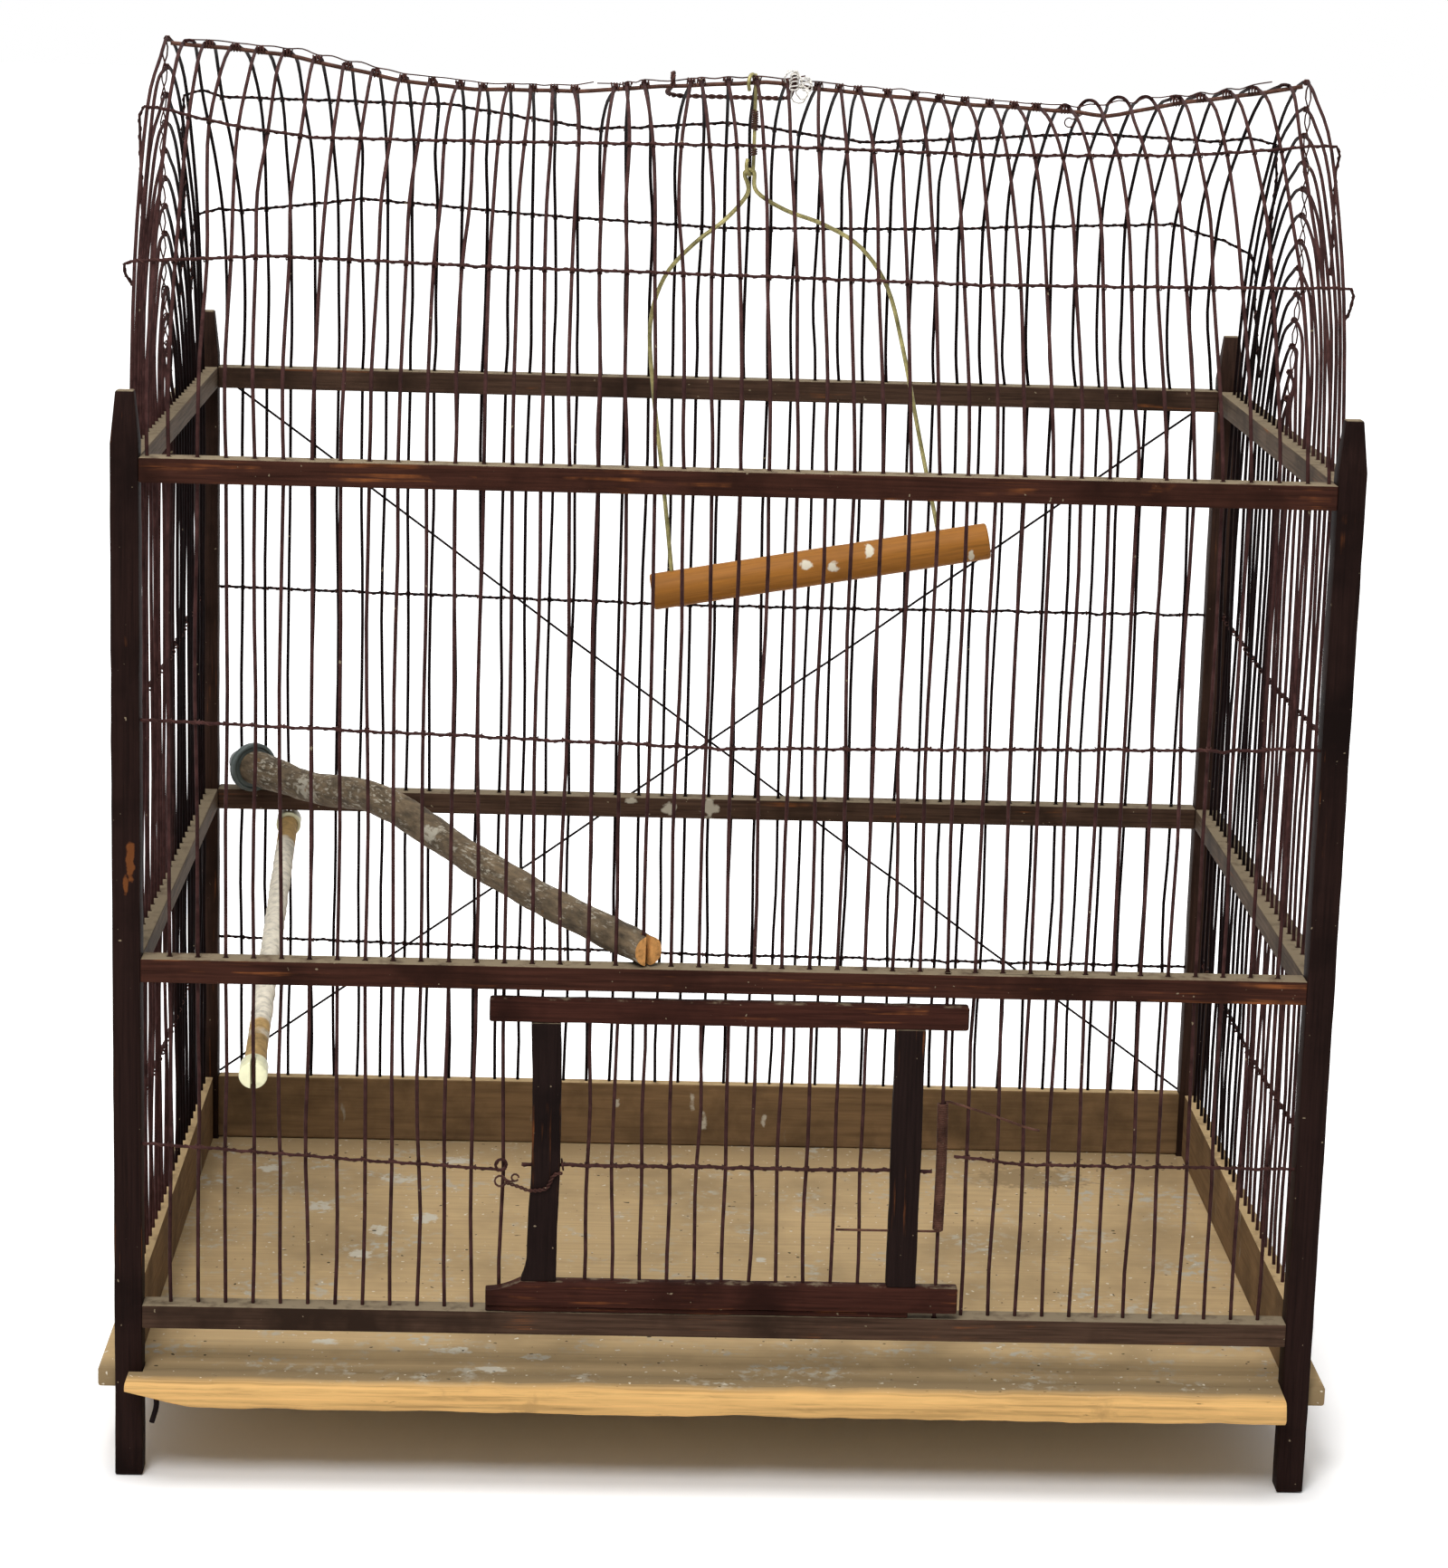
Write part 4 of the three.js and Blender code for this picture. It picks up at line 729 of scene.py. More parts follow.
def branch_bark(name):
    """Grey-brown bark with silvery peeling flakes and darker scars."""
    finish, tree, place = start_finish(name, 0.8, 0.3)
    turned = add_node(tree, "Mapping", {"Vector": place, "Rotation": (0, 0, -BRANCH_ANGLE)})
    drawn = along_grain(tree, turned, 0, 3.2 * MM, 11 * MM)
    height, colour = mottled(tree, drawn, tint("bark"), 0.35, 1.8, detail=6.0)
    flakes = where(tree, patches(tree, place, 21 * MM, 0.46, 0.58, 3.0),
                   patches(tree, drawn, 0.4, 0.53, 0.62, 6.0))
    peeled = where(tree, marks_at(tree, turned, PEELED_BARK),
                   patches(tree, drawn, 0.7, 0.4, 0.5, 6.0))
    return end_finish(finish, lay_over(
        tree, colour, (patches(tree, drawn, 2.5, 0.56, 0.7), tint("bark", 0.45)),
        (flakes, tint("droppings", 0.6)), (peeled, tint("droppings", 0.62)),
        (patches(tree, place, 14 * MM, 0.67, 0.73, 3.0), tint("cut_wood", 0.35))),
        height, 0.7, 0.8 * MM)


def crusted_wood(name):
    """Yellow-brown dowel whose middle is crusted white and wrapped in peeling pale film."""
    finish, tree, place = start_finish(name, 0.75, 0.35)
    height, wood = mottled(tree, place, tint("dowel"), 0.62, 1.3, 4.2 * MM, 6.0)
    _, crust = mottled(tree, place, tint("crust"), 0.6, 1.2, 4.2 * MM, 6.0)
    wave = add_node(tree, "TexNoise", {"Vector": place, "Scale": 1 / (17 * MM), "Detail": 4.0})
    shift = add_node(tree, "CombineXYZ", {1: wave})
    ragged = add_node(tree, "VectorMath", {0: shift, 1: (0, 60 * MM, 0), 2: place},
                      operation="MULTIPLY_ADD")
    middle = where(tree, depth_of(tree, ragged, FRONT_Y + 72 * MM, FRONT_Y + 80 * MM),
                   depth_of(tree, ragged, BACK_Y - 8 * MM, BACK_Y - 18 * MM))
    return end_finish(finish, lay_over(tree, wood, (middle, crust)), height, 0.5, 0.5 * MM)


def clouded(name, colour, roughness, specular, tones, size, detail, strength, depth):
    """One colour, clouded: moulded plastic with grime, cotton, or end grain with dark checks."""
    finish, tree, place = start_finish(name, roughness, specular)
    height, tone = mottled(tree, place, tint(colour), *tones, size, detail)
    return end_finish(finish, tone, height, strength, depth)


# How moulded plastic and cotton are clouded: faintly, and nearly smooth
FAINT = (0.5, (0.72, 1.12), 8 * MM, 3.0, 0.1, 0.2 * MM)
# Tones of the posts and stiles, whose grain shows less
PALE_TONES = (0.6, 1.35)
# Each finish: the name of a slot, what makes it, and what that is given
FINISHES = {
    "rail": (None, stained_wood, "stained_rail_wood", 0, "rails", 0.03),
    "worn_rail": (None, stained_wood, "worn_rail_wood", 0, "worn_rails", 0.0, PEELED_RAIL,
                  ("droppings", 0.6)),
    "side_rail": (None, stained_wood, "dusty_side_rail_wood", 1, "side_rails"),
    # The front posts take a darker copy of the posts' stain than the back posts: painted shade
    "post": ("stained_wood", stained_wood, "stained_post_wood", 2, "posts", -0.02, WORN_POST,
             ("rubbed", 0.6), PALE_TONES),
    "back_post": ("stained_wood", stained_wood, "worn_post_wood", 2, "back_posts", 0.0, (), (),
                  PALE_TONES),
    "door": ("stained_wood", stained_wood, "stained_door_wood", 0, "door", 0.02, BAR_DROPPING,
             ("droppings",), (0.5, 1.5), (0.52, 0.75)),
    "stile": ("stained_wood", stained_wood, "stained_stile_wood", 2, "stiles", 0.0, (), (),
              PALE_TONES),
    "board_x": (None, bare_board, "weathered_board_x", 0),
    "board_y": (None, bare_board, "weathered_board_y", 1),
    "floor": ("floor_wood", floor_pine, "dusty_pine_floor"),
    "rust": ("rusty_wire", rusty_steel, "rusty_steel_wire"),
    "lash": ("rusty_wire", thin_wire, "fine_binding_wire", "binding"),
    "spring": ("rusty_wire", thin_wire, "rusty_spring_wire", "spring"),
    # The braces and the nail take the same near-black colour: rust darkened with painted shade
    "dark_wire": ("rusty_wire", thin_wire, "dark_twisted_wire", "back_wires"),
    "brass": ("pale_wire", thin_wire, "tarnished_brass_wire", "brass", 0.42, 0.5),
    "beech": ("beech", turned_beech, "turned_beech"),
    "bark": ("bark", branch_bark, "grey_bark"),
    "cut": (None, clouded, "cut_end_grain", "cut_wood", 0.8, 0.25, (0.5, 1.35), 3 * MM, 4.0,
            0.3, 0.3 * MM),
    "dowel": ("dowel_wood", crusted_wood, "crusted_dowel"),
    "cream": ("cream_plastic", clouded, "cream_moulded_cap", "cream", 0.4, *FAINT),
    "grey": ("grey_plastic", clouded, "grey_moulded_cap", "grey", 0.45, *FAINT),
    "thread": ("thread", clouded, "white_cotton_thread", "thread", 0.9, *FAINT),
}
MADE = {}


def finish_of(key):
    """Makes each finish once, with the colours of the moment."""
    if key not in MADE:
        _, make, *facts = FINISHES[key]
        MADE[key] = make(*facts)
    return MADE[key]


def colour(name, description, code):
    return bpy.props.FloatVectorProperty(name=name, description=description, subtype="COLOR",
                                         size=4, min=0, max=1, default=linear(code))


class CageColours(bpy.types.PropertyGroup):
    rails: colour("Rails", "Red-brown stain of the front rails", "3a2119")
    worn_rails: colour("Worn rails", "Paler stain of the back rails and the bottom rail", "47352a")
    side_rails: colour("Side rails", "Dusty wood of the side rails", "5f5042")
    # Front and back posts share one stain; the front posts' darker copy of it is painted shade
    posts: colour("Front posts", "Near-black stain of the front posts", "211411")
    back_posts: colour("Back posts", "Paler stain of the back posts", "34241d")
    door: colour("Door bars", "Stain of the door's bars", "391f18")
    stiles: colour("Door stiles", "Stain of the door's stiles", "1d1311")
    rubbed: colour("Rubbed stain", "Wood where the stain is rubbed off", "87502c")
    dust: colour("Dust", "Dust on ledges and specks", "83755f")
    droppings: colour("Droppings", "Dried white droppings", "d8cfba")
    board: colour("Foot boards", "Bare boards round the foot", "7c6244")
    floor: colour("Floor", "Dusty top of the floor", "bfa378")
    lip: colour("Floor lip", "Raw pine of the floor's front edge", "d6aa6b")
    front_wires: colour("Front wires", "Rust of the wires in the light", "3c2624")
    # Near-black rust darkened as painted shade, for the wires at the back, the braces and the nail
    back_wires: colour("Back wires", "Rust of the wires at the back", "110808")
    binding: colour("Binding wire", "Fine wire of the lashings", "442c27")
    spring: colour("Spring wire", "Rusty wire of the door's spring and the ridge", "53382e")
    brass: colour("Swing wire", "Tarnished wire of the swing and its hook", "8c8458")
    beech: colour("Swing bar", "Turned bar of the swing", "9a6427")
    bark: colour("Bark", "Bark of the branch", "62533f")
    cut_wood: colour("Cut wood", "Cut end of the branch", "c58d50")
    dowel: colour("Dowel", "Bare ends of the dowel", "b8965f")
    crust: colour("Crust", "Pale crust round the dowel", "e2d9c6")
    cream: colour("Dowel caps", "Moulded caps of the dowel", "f0edc4")
    grey: colour("Branch cap", "Moulded cap of the branch", "4e5754")
    thread: colour("Thread", "White thread on the handle", "ece8e0")


def length(name, description, default, low, high):
    """A length, given in millimetres."""
    return bpy.props.FloatProperty(name=name, description=description, default=default * MM,
                                   min=low * MM, max=high * MM, unit="LENGTH")


class CageSizes(bpy.types.PropertyGroup):
    wall_stray: length("Wall stray", "How far the wall wires wander between two rails", 1.4, 0, 4)
    roof_stray: length("Roof stray", "How far the roof wires wander sideways", 1.1, 0, 5)
    edge: length("Worn edge", "Width of the rounded edges of the wooden bars", 0.7, 0.1, 2)
    wear: length("Wear", "How uneven the faces of the wooden bars are", 0.4, 0, 2)
    lash_pitch: length("Binding pitch", "Length of one turn of the fine wire", 7, 3, 20)
    spring_turns: bpy.props.IntProperty(
        name="Spring turns", description="Turns of the door spring's coil",
        default=74, min=20, max=90)


def sizes():
    return bpy.context.scene.birdcage_sizes


class CAGE_OT_posts(bpy.types.Operator):
    """Four posts with tapered tips"""
    bl_idname = "cage.posts"
    bl_label = "Posts"

    def execute(self, context):
        tip_height, tip_share = 22 * MM, 7.5 / 12
        for node in POSTS:
            low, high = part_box(node)
            middle = (low + high) / 2
            shoulder = high.z - tip_height

            def taper(piece):
                bpy.ops.mesh.select_all(action="SELECT")
                bpy.ops.mesh.bisect(plane_co=(middle.x, middle.y, shoulder), plane_no=UP)
                pick(piece, "verts", lambda v: v.co.z > shoulder + HAIR)
                bpy.ops.transform.resize(value=(tip_share, tip_share, 1),
                                         center_override=(middle.x, middle.y, high.z))
            piece = add_bar(low, high, 46, sizes().edge, sizes().wear, taper)
            settle(piece, "worn_" + node, "back_post" if "back" in node else "post", node)
        return {"FINISHED"}


class CAGE_OT_rails(bpy.types.Operator):
    """Rounds and finishes the drilled rails and the tall boards round the foot"""
    bl_idname = "cage.rails"
    bl_label = "Rails and foot boards"

    def execute(self, context):
        for tier in ("top_rail_", "mid_rail_"):
            for side, wood in (("front", "rail"), ("back", "worn_rail"), ("left", "side_rail"),
                               ("right", "side_rail")):
                dress(tier + side, wood, 0.6 * MM)
        dress("bottom_rail_front", "worn_rail", 0.6 * MM)
        for side, wood in (("back", "board_x"), ("left", "board_y"), ("right", "board_y")):
            dress("bottom_board_" + side, wood, 0.8 * MM)
        return {"FINISHED"}


class CAGE_OT_floor(bpy.types.Operator):
    """The pine floor with its worn front lip, and the bent nail under it"""
    bl_idname = "cage.floor"
    bl_label = "Floor board"

    def execute(self, context):
        low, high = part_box("floor_board")
        setback, inner = 4 * MM, RAIL_HIGH.x - GAP
        slab_front, slab_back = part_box(POSTS[0])[0].y + setback, BACK_Y + POST / 2 - setback
        slab = add_bar(vec(low.x, slab_front, low.z), vec(high.x, slab_back, high.z),
                       30, 1.2 * MM, 0.3 * MM)
        back = add_bar(vec(-inner, slab_back, low.z), vec(inner, high.y, high.z),
                       30, 0.8 * MM, 0.3 * MM)
        deeper, split_length, split_height = 2.6 * MM, 30 * MM, 5.5 * MM

        def nose(piece):
            # The lip sags at its front edge, and its left end is split away underneath
            pick(piece, "verts", lambda v: v.co.y < low.y + HAIR and v.co.z < low.z + HAIR)
            bpy.ops.transform.translate(value=(0, 0, -deeper))
            bpy.ops.mesh.select_all(action="SELECT")
            bpy.ops.mesh.bisect(
                plane_co=(-WALL_X, low.y, low.z + split_height),
                plane_no=vec(split_height + deeper, 0, split_length).normalized(),
                clear_inner=True, use_fill=True)
            round_off(piece, 3.2 * MM, 4, lambda e: along(0)(e) and max(
                v.co.y for v in e.verts) < low.y + HAIR, True)
        lip = add_bar(vec(-WALL_X, low.y, low.z), vec(inner, slab_front, high.z),
                      120, 0.5 * MM, 0.4 * MM, nose)
        roughen(lip, 1.1 * MM, 30 * MM)
        roughen(lip, 0.5 * MM, 6 * MM, 3)
        for piece in (slab, lip):
            for node in POSTS:
                a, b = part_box(node)
                cut_away(piece, add_box(vec(a.x - GAP, a.y - GAP, low.z - 5 * MM),
                                        vec(b.x + GAP, b.y + GAP, high.z + 5 * MM)))
        settle(join(slab, back, lip), "pine_floor", "floor", "floor_board", angle=35)

        a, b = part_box("floor_nail")
        top = vec((a.x + b.x) / 2, (a.y + b.y) / 2, b.z)
        foot = vec(top.x - 2 * MM, top.y, a.z + 0.6 * MM)
        run = smooth([top, top.lerp(foot, 0.4) + vec(0.7 * MM, 0, 0), foot])
        settle(lay_wires([run], 2.5 * MM, sides=10), "bent_nail", "dark_wire", "floor_nail")
        return {"FINISHED"}


def storey(x, y, low, high, seed, amount, count=7, deep=0.4):
    """Points up a wire between two rails, held at its ends and straying between them."""
    points = []
    for k in range(count + 1):
        share = k / count
        free = math.sin(math.pi * share) ** 0.7 if 0 < share < 1 else 0
        points.append(vec(x + free * stray(seed, share * 2.1, amount),
                          y + free * stray(seed + 50, share * 2.1, amount * deep),
                          low + (high - low) * share))
    return points


def roof_run(x, index, slip):
    """A wire from the front wall's top over the ridge to the back wall's top."""
    rise, ends = rise_at(x), x / WALL_X
    crest_z = WALL_TOP + rise
    knee, low_tie, high_tie = ROOF_BENDS
    halves = []
    for side, face, column in ((-1, "front", 1), (1, "back", 3)):
        seed = index + 19.3 * (side + 2)
        lower, upper = (read_line(ROOF_LEANS, index, column + k) * MM for k in (0, 1))
        low_z, high_z = tie_height(face + "_lower", x), tie_height(face + "_upper", x)
        # How far each bend leans, its share of the half depth, its height and how free it is
        bends = (
            (0, 1, WALL_TOP, 0), (lower * 0.3, 0.985, WALL_TOP + rise * 0.1, 0.4),
            (lower * 0.6, knee[0], WALL_TOP + rise * knee[1], 1), (lower, low_tie[0], low_z, 0.5),
            ((lower + upper) / 2, 0.66, (low_z + high_z) / 2 + 2 * MM, 1.2),
            (upper, high_tie[0], high_z, 0.5),
            (upper * 0.55 + slip * 0.45, 0.26,
             high_z * 0.42 + crest_z * 0.58 + 5.5 * MM * abs(ends), 0.5))
        halves.append([vec(x + lean + stray(seed, height * 40, sizes().roof_stray * loose),
                           MIDDLE_Y + side * HALF_DEPTH * across, height)
                       for lean, across, height, loose in bends])
    lift = LOOSE_CRESTS.get(index, 0) * MM
    wide, slant = 1.6 * MM + lift * 0.9, (1.8 * MM + 0.7 * lift) * ends
    crest = [vec(x + slip - slant * across, MIDDLE_Y + across * wide,
                 crest_z + lift * up - down * MM)
             for across, up, down in ((-1.3, 0.35, 0.9), (-0.5, 0.95, 0), (0.5, 0.95, 0),
                                      (1.3, 0.35, 0.9))]
    return smooth(halves[0] + crest + halves[1][::-1], 3)


def hoop_run(index):
    """One wire: up the front wall, over the roof and down the back wall."""
    x = front_x(index)
    wall = sizes().wall_stray
    if index in OVER_DOOR:
        points = [vec(x, FRONT_Y, MID_LOW + 1 * MM)]
    else:
        points = [vec(x, FRONT_Y, BOTTOM_TOP - 2 * MM)]
        points += storey(x, FRONT_Y, BOTTOM_TOP, MID_LOW, index + 0.4, wall)
    points += storey(x, FRONT_Y, MID_TOP, TOP_LOW, index + 3.7, wall)
    back = storey(x, BACK_Y, MID_TOP, TOP_LOW, index + 11.1, wall)[::-1]
    back += storey(x, BACK_Y, BOARD_TOP, MID_LOW, index + 17.3, wall)[::-1]
    return (points + roof_run(x, index, CREST_SLIPS[index] * MM) + back
            + [vec(x, BACK_Y, BOARD_TOP - 2 * MM)])


class CAGE_OT_hoops(bpy.types.Operator):
    """The wires of the front wall, roof and back wall"""
    bl_idname = "cage.hoops"
    bl_label = "Long wires"

    def execute(self, context):
        second, third = RIDGE_BREAKS
        aside = 3 * MM
        # One more wire stands in each corner, from rail to rail only
        for name, first, last, corner in (
                ("left", 0, second, [(RAIL_LOW.x + aside, 0, 0)]), ("centre", second, third, []),
                ("right", third, FRONT_WIRES, [(RAIL_HIGH.x - aside, FRONT_WIRES - 1, 0)])):
            runs = [hoop_run(i) for i in range(first, last)] + [roof_run(*c) for c in corner]
            settle(lay_wires(runs, WIRE), "hoop_wires_" + name, "rust", "roof_hoops_" + name)
        return {"FINISHED"}


def arch_run(x, index):
    """One side wire: up the front half of the wall, over the gable and down again."""
    out = 1 if x > 0 else -1
    half = side_y(SIDE_WIRES - 1 - index) - MIDDLE_Y
    rise = rise_at(x) - index * (rise_at(x) - LOWEST_ARCH_RISE) / (ARCHES - 1)
    wall = sizes().wall_stray * 0.8
    bulge = out * 2.6 * MM * math.sin(math.pi * (index + 1) / (ARCHES + 1))
    top = vec(x + bulge * 0.8, MIDDLE_Y, WALL_TOP + rise)
    halves = []
    for side, seed in ((-1, index * 2.3 + 5 * out), (1, index * 3.1 + 9 * out)):
        y = MIDDLE_Y + side * half
        leg = [vec(x, y, BOARD_TOP - 2 * MM)]
        leg += storey(x, y, BOARD_TOP, MID_LOW, seed + 100, wall, deep=1.0)
        leg += storey(x, y, MID_TOP, TOP_LOW, seed + 140, wall, deep=1.0)
        bends = [vec(x, y, WALL_TOP)] + [
            vec(x + bulge * up + stray(seed, k + 0.2, 1.2 * MM),
                MIDDLE_Y + side * half * across, WALL_TOP + rise * up)
            for k, (across, up) in enumerate(GABLE_BENDS)]
        bends.append(top + vec(0, side * half * 0.07, -rise * 0.006))
        halves.append((leg, bends))
    (near_leg, near), (far_leg, far) = halves
    return near_leg + smooth(near + [top] + far[::-1]) + far_leg[::-1]


class CAGE_OT_gables(bpy.types.Operator):
    """The side wires, their arches and the wires that tie them down the middle"""
    bl_idname = "cage.gables"
    bl_label = "Side wires"

    def execute(self, context):
        for name, out in (("left", -1), ("right", 1)):
            arches = [arch_run(out * WALL_X, j) for j in range(ARCHES)]
            settle(lay_wires(arches, WIRE), f"gable_wires_{name}_round", "rust",
                   "gable_wires_" + name)
            crests = [max(run, key=lambda p: p.z) for run in arches]
            way = [crest + vec(out * 0.9 * MM, 0, 0) for crest in crests]
            ties = lay_wires(twisted(way, 1.25 * MM, 22 * MM), 0.75 * MM, sides=6)
            bound = knots([(crest, vec(0, 1, 0), UP) for crest in crests], 1.5 * MM, 0.7 * MM)
            settle(join(ties, bound), "gable_tie_" + name, "lash")
        return {"FINISHED"}


class CAGE_OT_ridge(bpy.types.Operator):
    """The ridge rod, the fine wire along it and a knob at each crest"""
    bl_idname = "cage.ridge"
    bl_label = "Ridge"

    def execute(self, context):
        drop = WIRE / 2 + RIDGE_ROD / 2
        reach = WALL_X - WIRE / 2
        places = [-reach] + [front_x(i) for i in range(FRONT_WIRES)] + [reach]
        run = [vec(x, MIDDLE_Y + stray(3, k * 0.4, 0.5 * MM),
                   WALL_TOP + rise_at(x) - drop + stray(9, k * 0.7, 0.5 * MM))
               for k, x in enumerate(places)]
        settle(lay_wires([smooth(run, 2)], RIDGE_ROD), "ridge_rod_round", "spring", "ridge_rod")

        runs, turns = [], []
        breaks = (0, *RIDGE_BREAKS, FRONT_WIRES)
        for first, last in zip(breaks, breaks[1:]):
            line = []
            for i in range(first, last):
                x, slip = front_x(i), CREST_SLIPS[i] * MM
                top = WALL_TOP + rise_at(x) + LOOSE_CRESTS.get(i, 0) * MM * 0.4
                line.append(vec(x + slip, MIDDLE_Y, top + 1.2 * MM))
                if i < last - 1:
                    line.append(vec(x + (PITCH + slip + CREST_SLIPS[i + 1] * MM) / 2,
                                    MIDDLE_Y + stray(i, 0.1, 1.2 * MM),
                                    top + (0.9 + 1.3 * noise.noise(vec(i * 1.9, 0, 3))) * MM))
                if LOOSE_CRESTS.get(i, 0) < 2:
                    axis = vec(x + slip, MIDDLE_Y,
                               WALL_TOP + rise_at(x + slip) - drop * 0.35)
                    half = vec(2.1 * MM, 0, 0)
                    turns.append(wind([axis - half, axis + half], 1.9 * MM, 1.35 * MM, i * 1.1, 7))
            loose = vec(PITCH * 0.7, -1 * MM, 1.6 * MM)
            line = [line[0] - vec(loose.x, 1 * MM, 0)] + line + [line[-1] + loose]
            runs.append(smooth(line, 3))
        # A loose end curls under the rod
        x, size = 157 * MM, 2.1 * MM
        hung = vec(x, MIDDLE_Y - 1.5 * MM, WALL_TOP + rise_at(x) - 2 * MM)
        curl = arc(hung + vec(-6 * MM, 0, -4 * MM), vec(size, 0, 0), vec(0, 0, size),
                   EIGHTH, EIGHTH, 8)
        runs.append(smooth([hung, hung + vec(-2.5 * MM, 0, -1.6 * MM)] + curl, 3))
        fine, knobs = lay_wires(runs, 0.7 * MM, sides=6), lay_wires(turns, 0.8 * MM, sides=4)
        settle(join(fine, knobs), "ridge_binding", "lash")
        return {"FINISHED"}


def bound_wire(name, run, crossings, way, normal, replaces):
    """A cross wire with the fine wire wound along it and a knot at each crossing."""
    settle(lay_wires([run], CROSS), name, "rust", replaces)
    across = normal.cross(way).normalized()
    bound = knots([(place, way, across) for place in crossings], 1.25 * MM, KNOT)
    settle(join(lashing(run, CROSS), bound), name + "_lashing", "lash")


class CAGE_OT_roof_cross(bpy.types.Operator):
    """Four long wires across the roof, whose ends turn down over the gables"""
    bl_idname = "cage.roof_cross"
    bl_label = "Roof cross wires"

    def execute(self, context):
        # The bend of the roof that each wire runs along, and for each point of its ends the
        # share of the half depth, the share of the rise, and how far out it bows there
        ends = {
            "front_upper": (2, ((0.45, 0.78, 2.5), (0.47, 0.66, 1.6), (0.49, 0.5, 0.6))),
            "front_lower": (1, ((0.77, 0.45, 3), (0.76, 0.43, 2.6), (0.72, 0.4, 0.5))),
            "back_upper": (2, ((0.48, 0.56, 0), (0.33, 0.24, 0))),
            "back_lower": (1, ((0.68, 0.3, 0), (0.52, 0.1, 0))),
        }
        for seed, (name, (bend, down)) in enumerate(ends.items()):
            side = -1 if name.startswith("front") else 1
            column = side + 1 + bend
            y = MIDDLE_Y + side * (HALF_DEPTH * ROOF_BENDS[bend][0] + SETOUT * 0.8)

            def over(x):
                return tie_height(name, x) + SETOUT * 0.8
            line = []
            for i in range(FRONT_WIRES):
                x = front_x(i) + read_line(ROOF_LEANS, i, column) * MM
                line.append(vec(x, y, over(x)))
                line.append(vec(x + PITCH / 2, y + stray(i, seed, 0.3 * MM),
                                over(x + PITCH / 2) - 0.25 * MM + stray(i + 9, seed, 0.3 * MM)))
            line.pop()
            crossings = [place - vec(0, side * 0.5 * MM, 0.5 * MM) for place in line[::2]]
            # The ends on the left bow out further
            for end, bow in ((-1, MM), (1, 0.4 * MM)):
                tie, gable = WALL_X + SETOUT, end * WALL_X
                tail = [vec(end * tie, y, over(gable))]
                tail += [vec(end * (tie + out * bow), MIDDLE_Y + side * HALF_DEPTH * inward,
                             WALL_TOP + rise_at(gable) * height) for inward, height, out in down]
                line = line + tail if end > 0 else tail[::-1] + line
            bound_wire("roof_cross_" + name, smooth(line, 2), crossings, vec(1, 0, 0),
                       vec(0, side * 0.8, 0.6), "roof_wire_" + name)
        return {"FINISHED"}


# The cross wires of each wall: their storey, and the shares of its height at their ends and
# middle
WALL_WIRES = (
    ("front_upper", (0.48, 0.448, 0.47)), ("back_upper", (0.48, 0.46, 0.465)),
    ("left_upper", (0.47, 0.45, 0.48)), ("right_upper", (0.47, 0.45, 0.475)),
    ("back_lower", (0.48, 0.45, 0.44)), ("left_lower", (0.47, 0.45, 0.48)),
    ("right_lower", (0.48, 0.45, 0.48)))
LEFT_OF_DOOR = (0.455, 0.4, 0.41)
RIGHT_OF_DOOR = (0.46, 0.44, 0.44)
# For each wall: the axis that it runs along, where its cross wires stand, and which way is out
WALLS = {"front": (0, FRONT_Y - SETOUT, -1), "back": (0, BACK_Y + SETOUT, 1),
         "left": (1, -WALL_X - SETOUT, -1), "right": (1, WALL_X + SETOUT, 1)}


def wall_wire(name, replaces, side, stations, wires, seed, curl=False):
    """A cross wire tied to a wall's wires. Each of its stations is a place along the wall and
    a height."""
    axis, place, out = WALLS[side]
    way = vec(1 - axis, axis, 0)
    normal = out * vec(axis, 1 - axis, 0)

    def spot(t, height):
        return way * t + vec(place * axis, place * (1 - axis), height)
    line, crossings = [spot(*stations[0])], []
    for i in wires:
        t = side_y(i) if axis else front_x(i)
        line.append(spot(t, read_line(stations, t)))
        crossings.append(line[-1] - normal * 0.8 * MM)
        if i < wires[-1]:
            t += PITCH / 2
            sag = stray(seed + i - wires[0], 0.6, 0.7 * MM) - 0.2 * MM
            line.append(spot(t, read_line(stations, t) + sag) + normal * 0.15 * MM)
    run = smooth(line + [spot(*stations[-1])], 2)
    if curl:
        size, drift = 2.4 * MM, vec(0, -0.12 * MM, 0)
        run += arc(run[-1] + vec(0, -0.2 * MM, 2.6 * MM) + drift, vec(0, 0, -size),
                   vec(size, 0, 0), math.pi / 6, math.pi / 6, 14, drift)
    bound_wire("wall_cross_" + name, run, crossings, way, normal, "wall_wire_" + replaces)


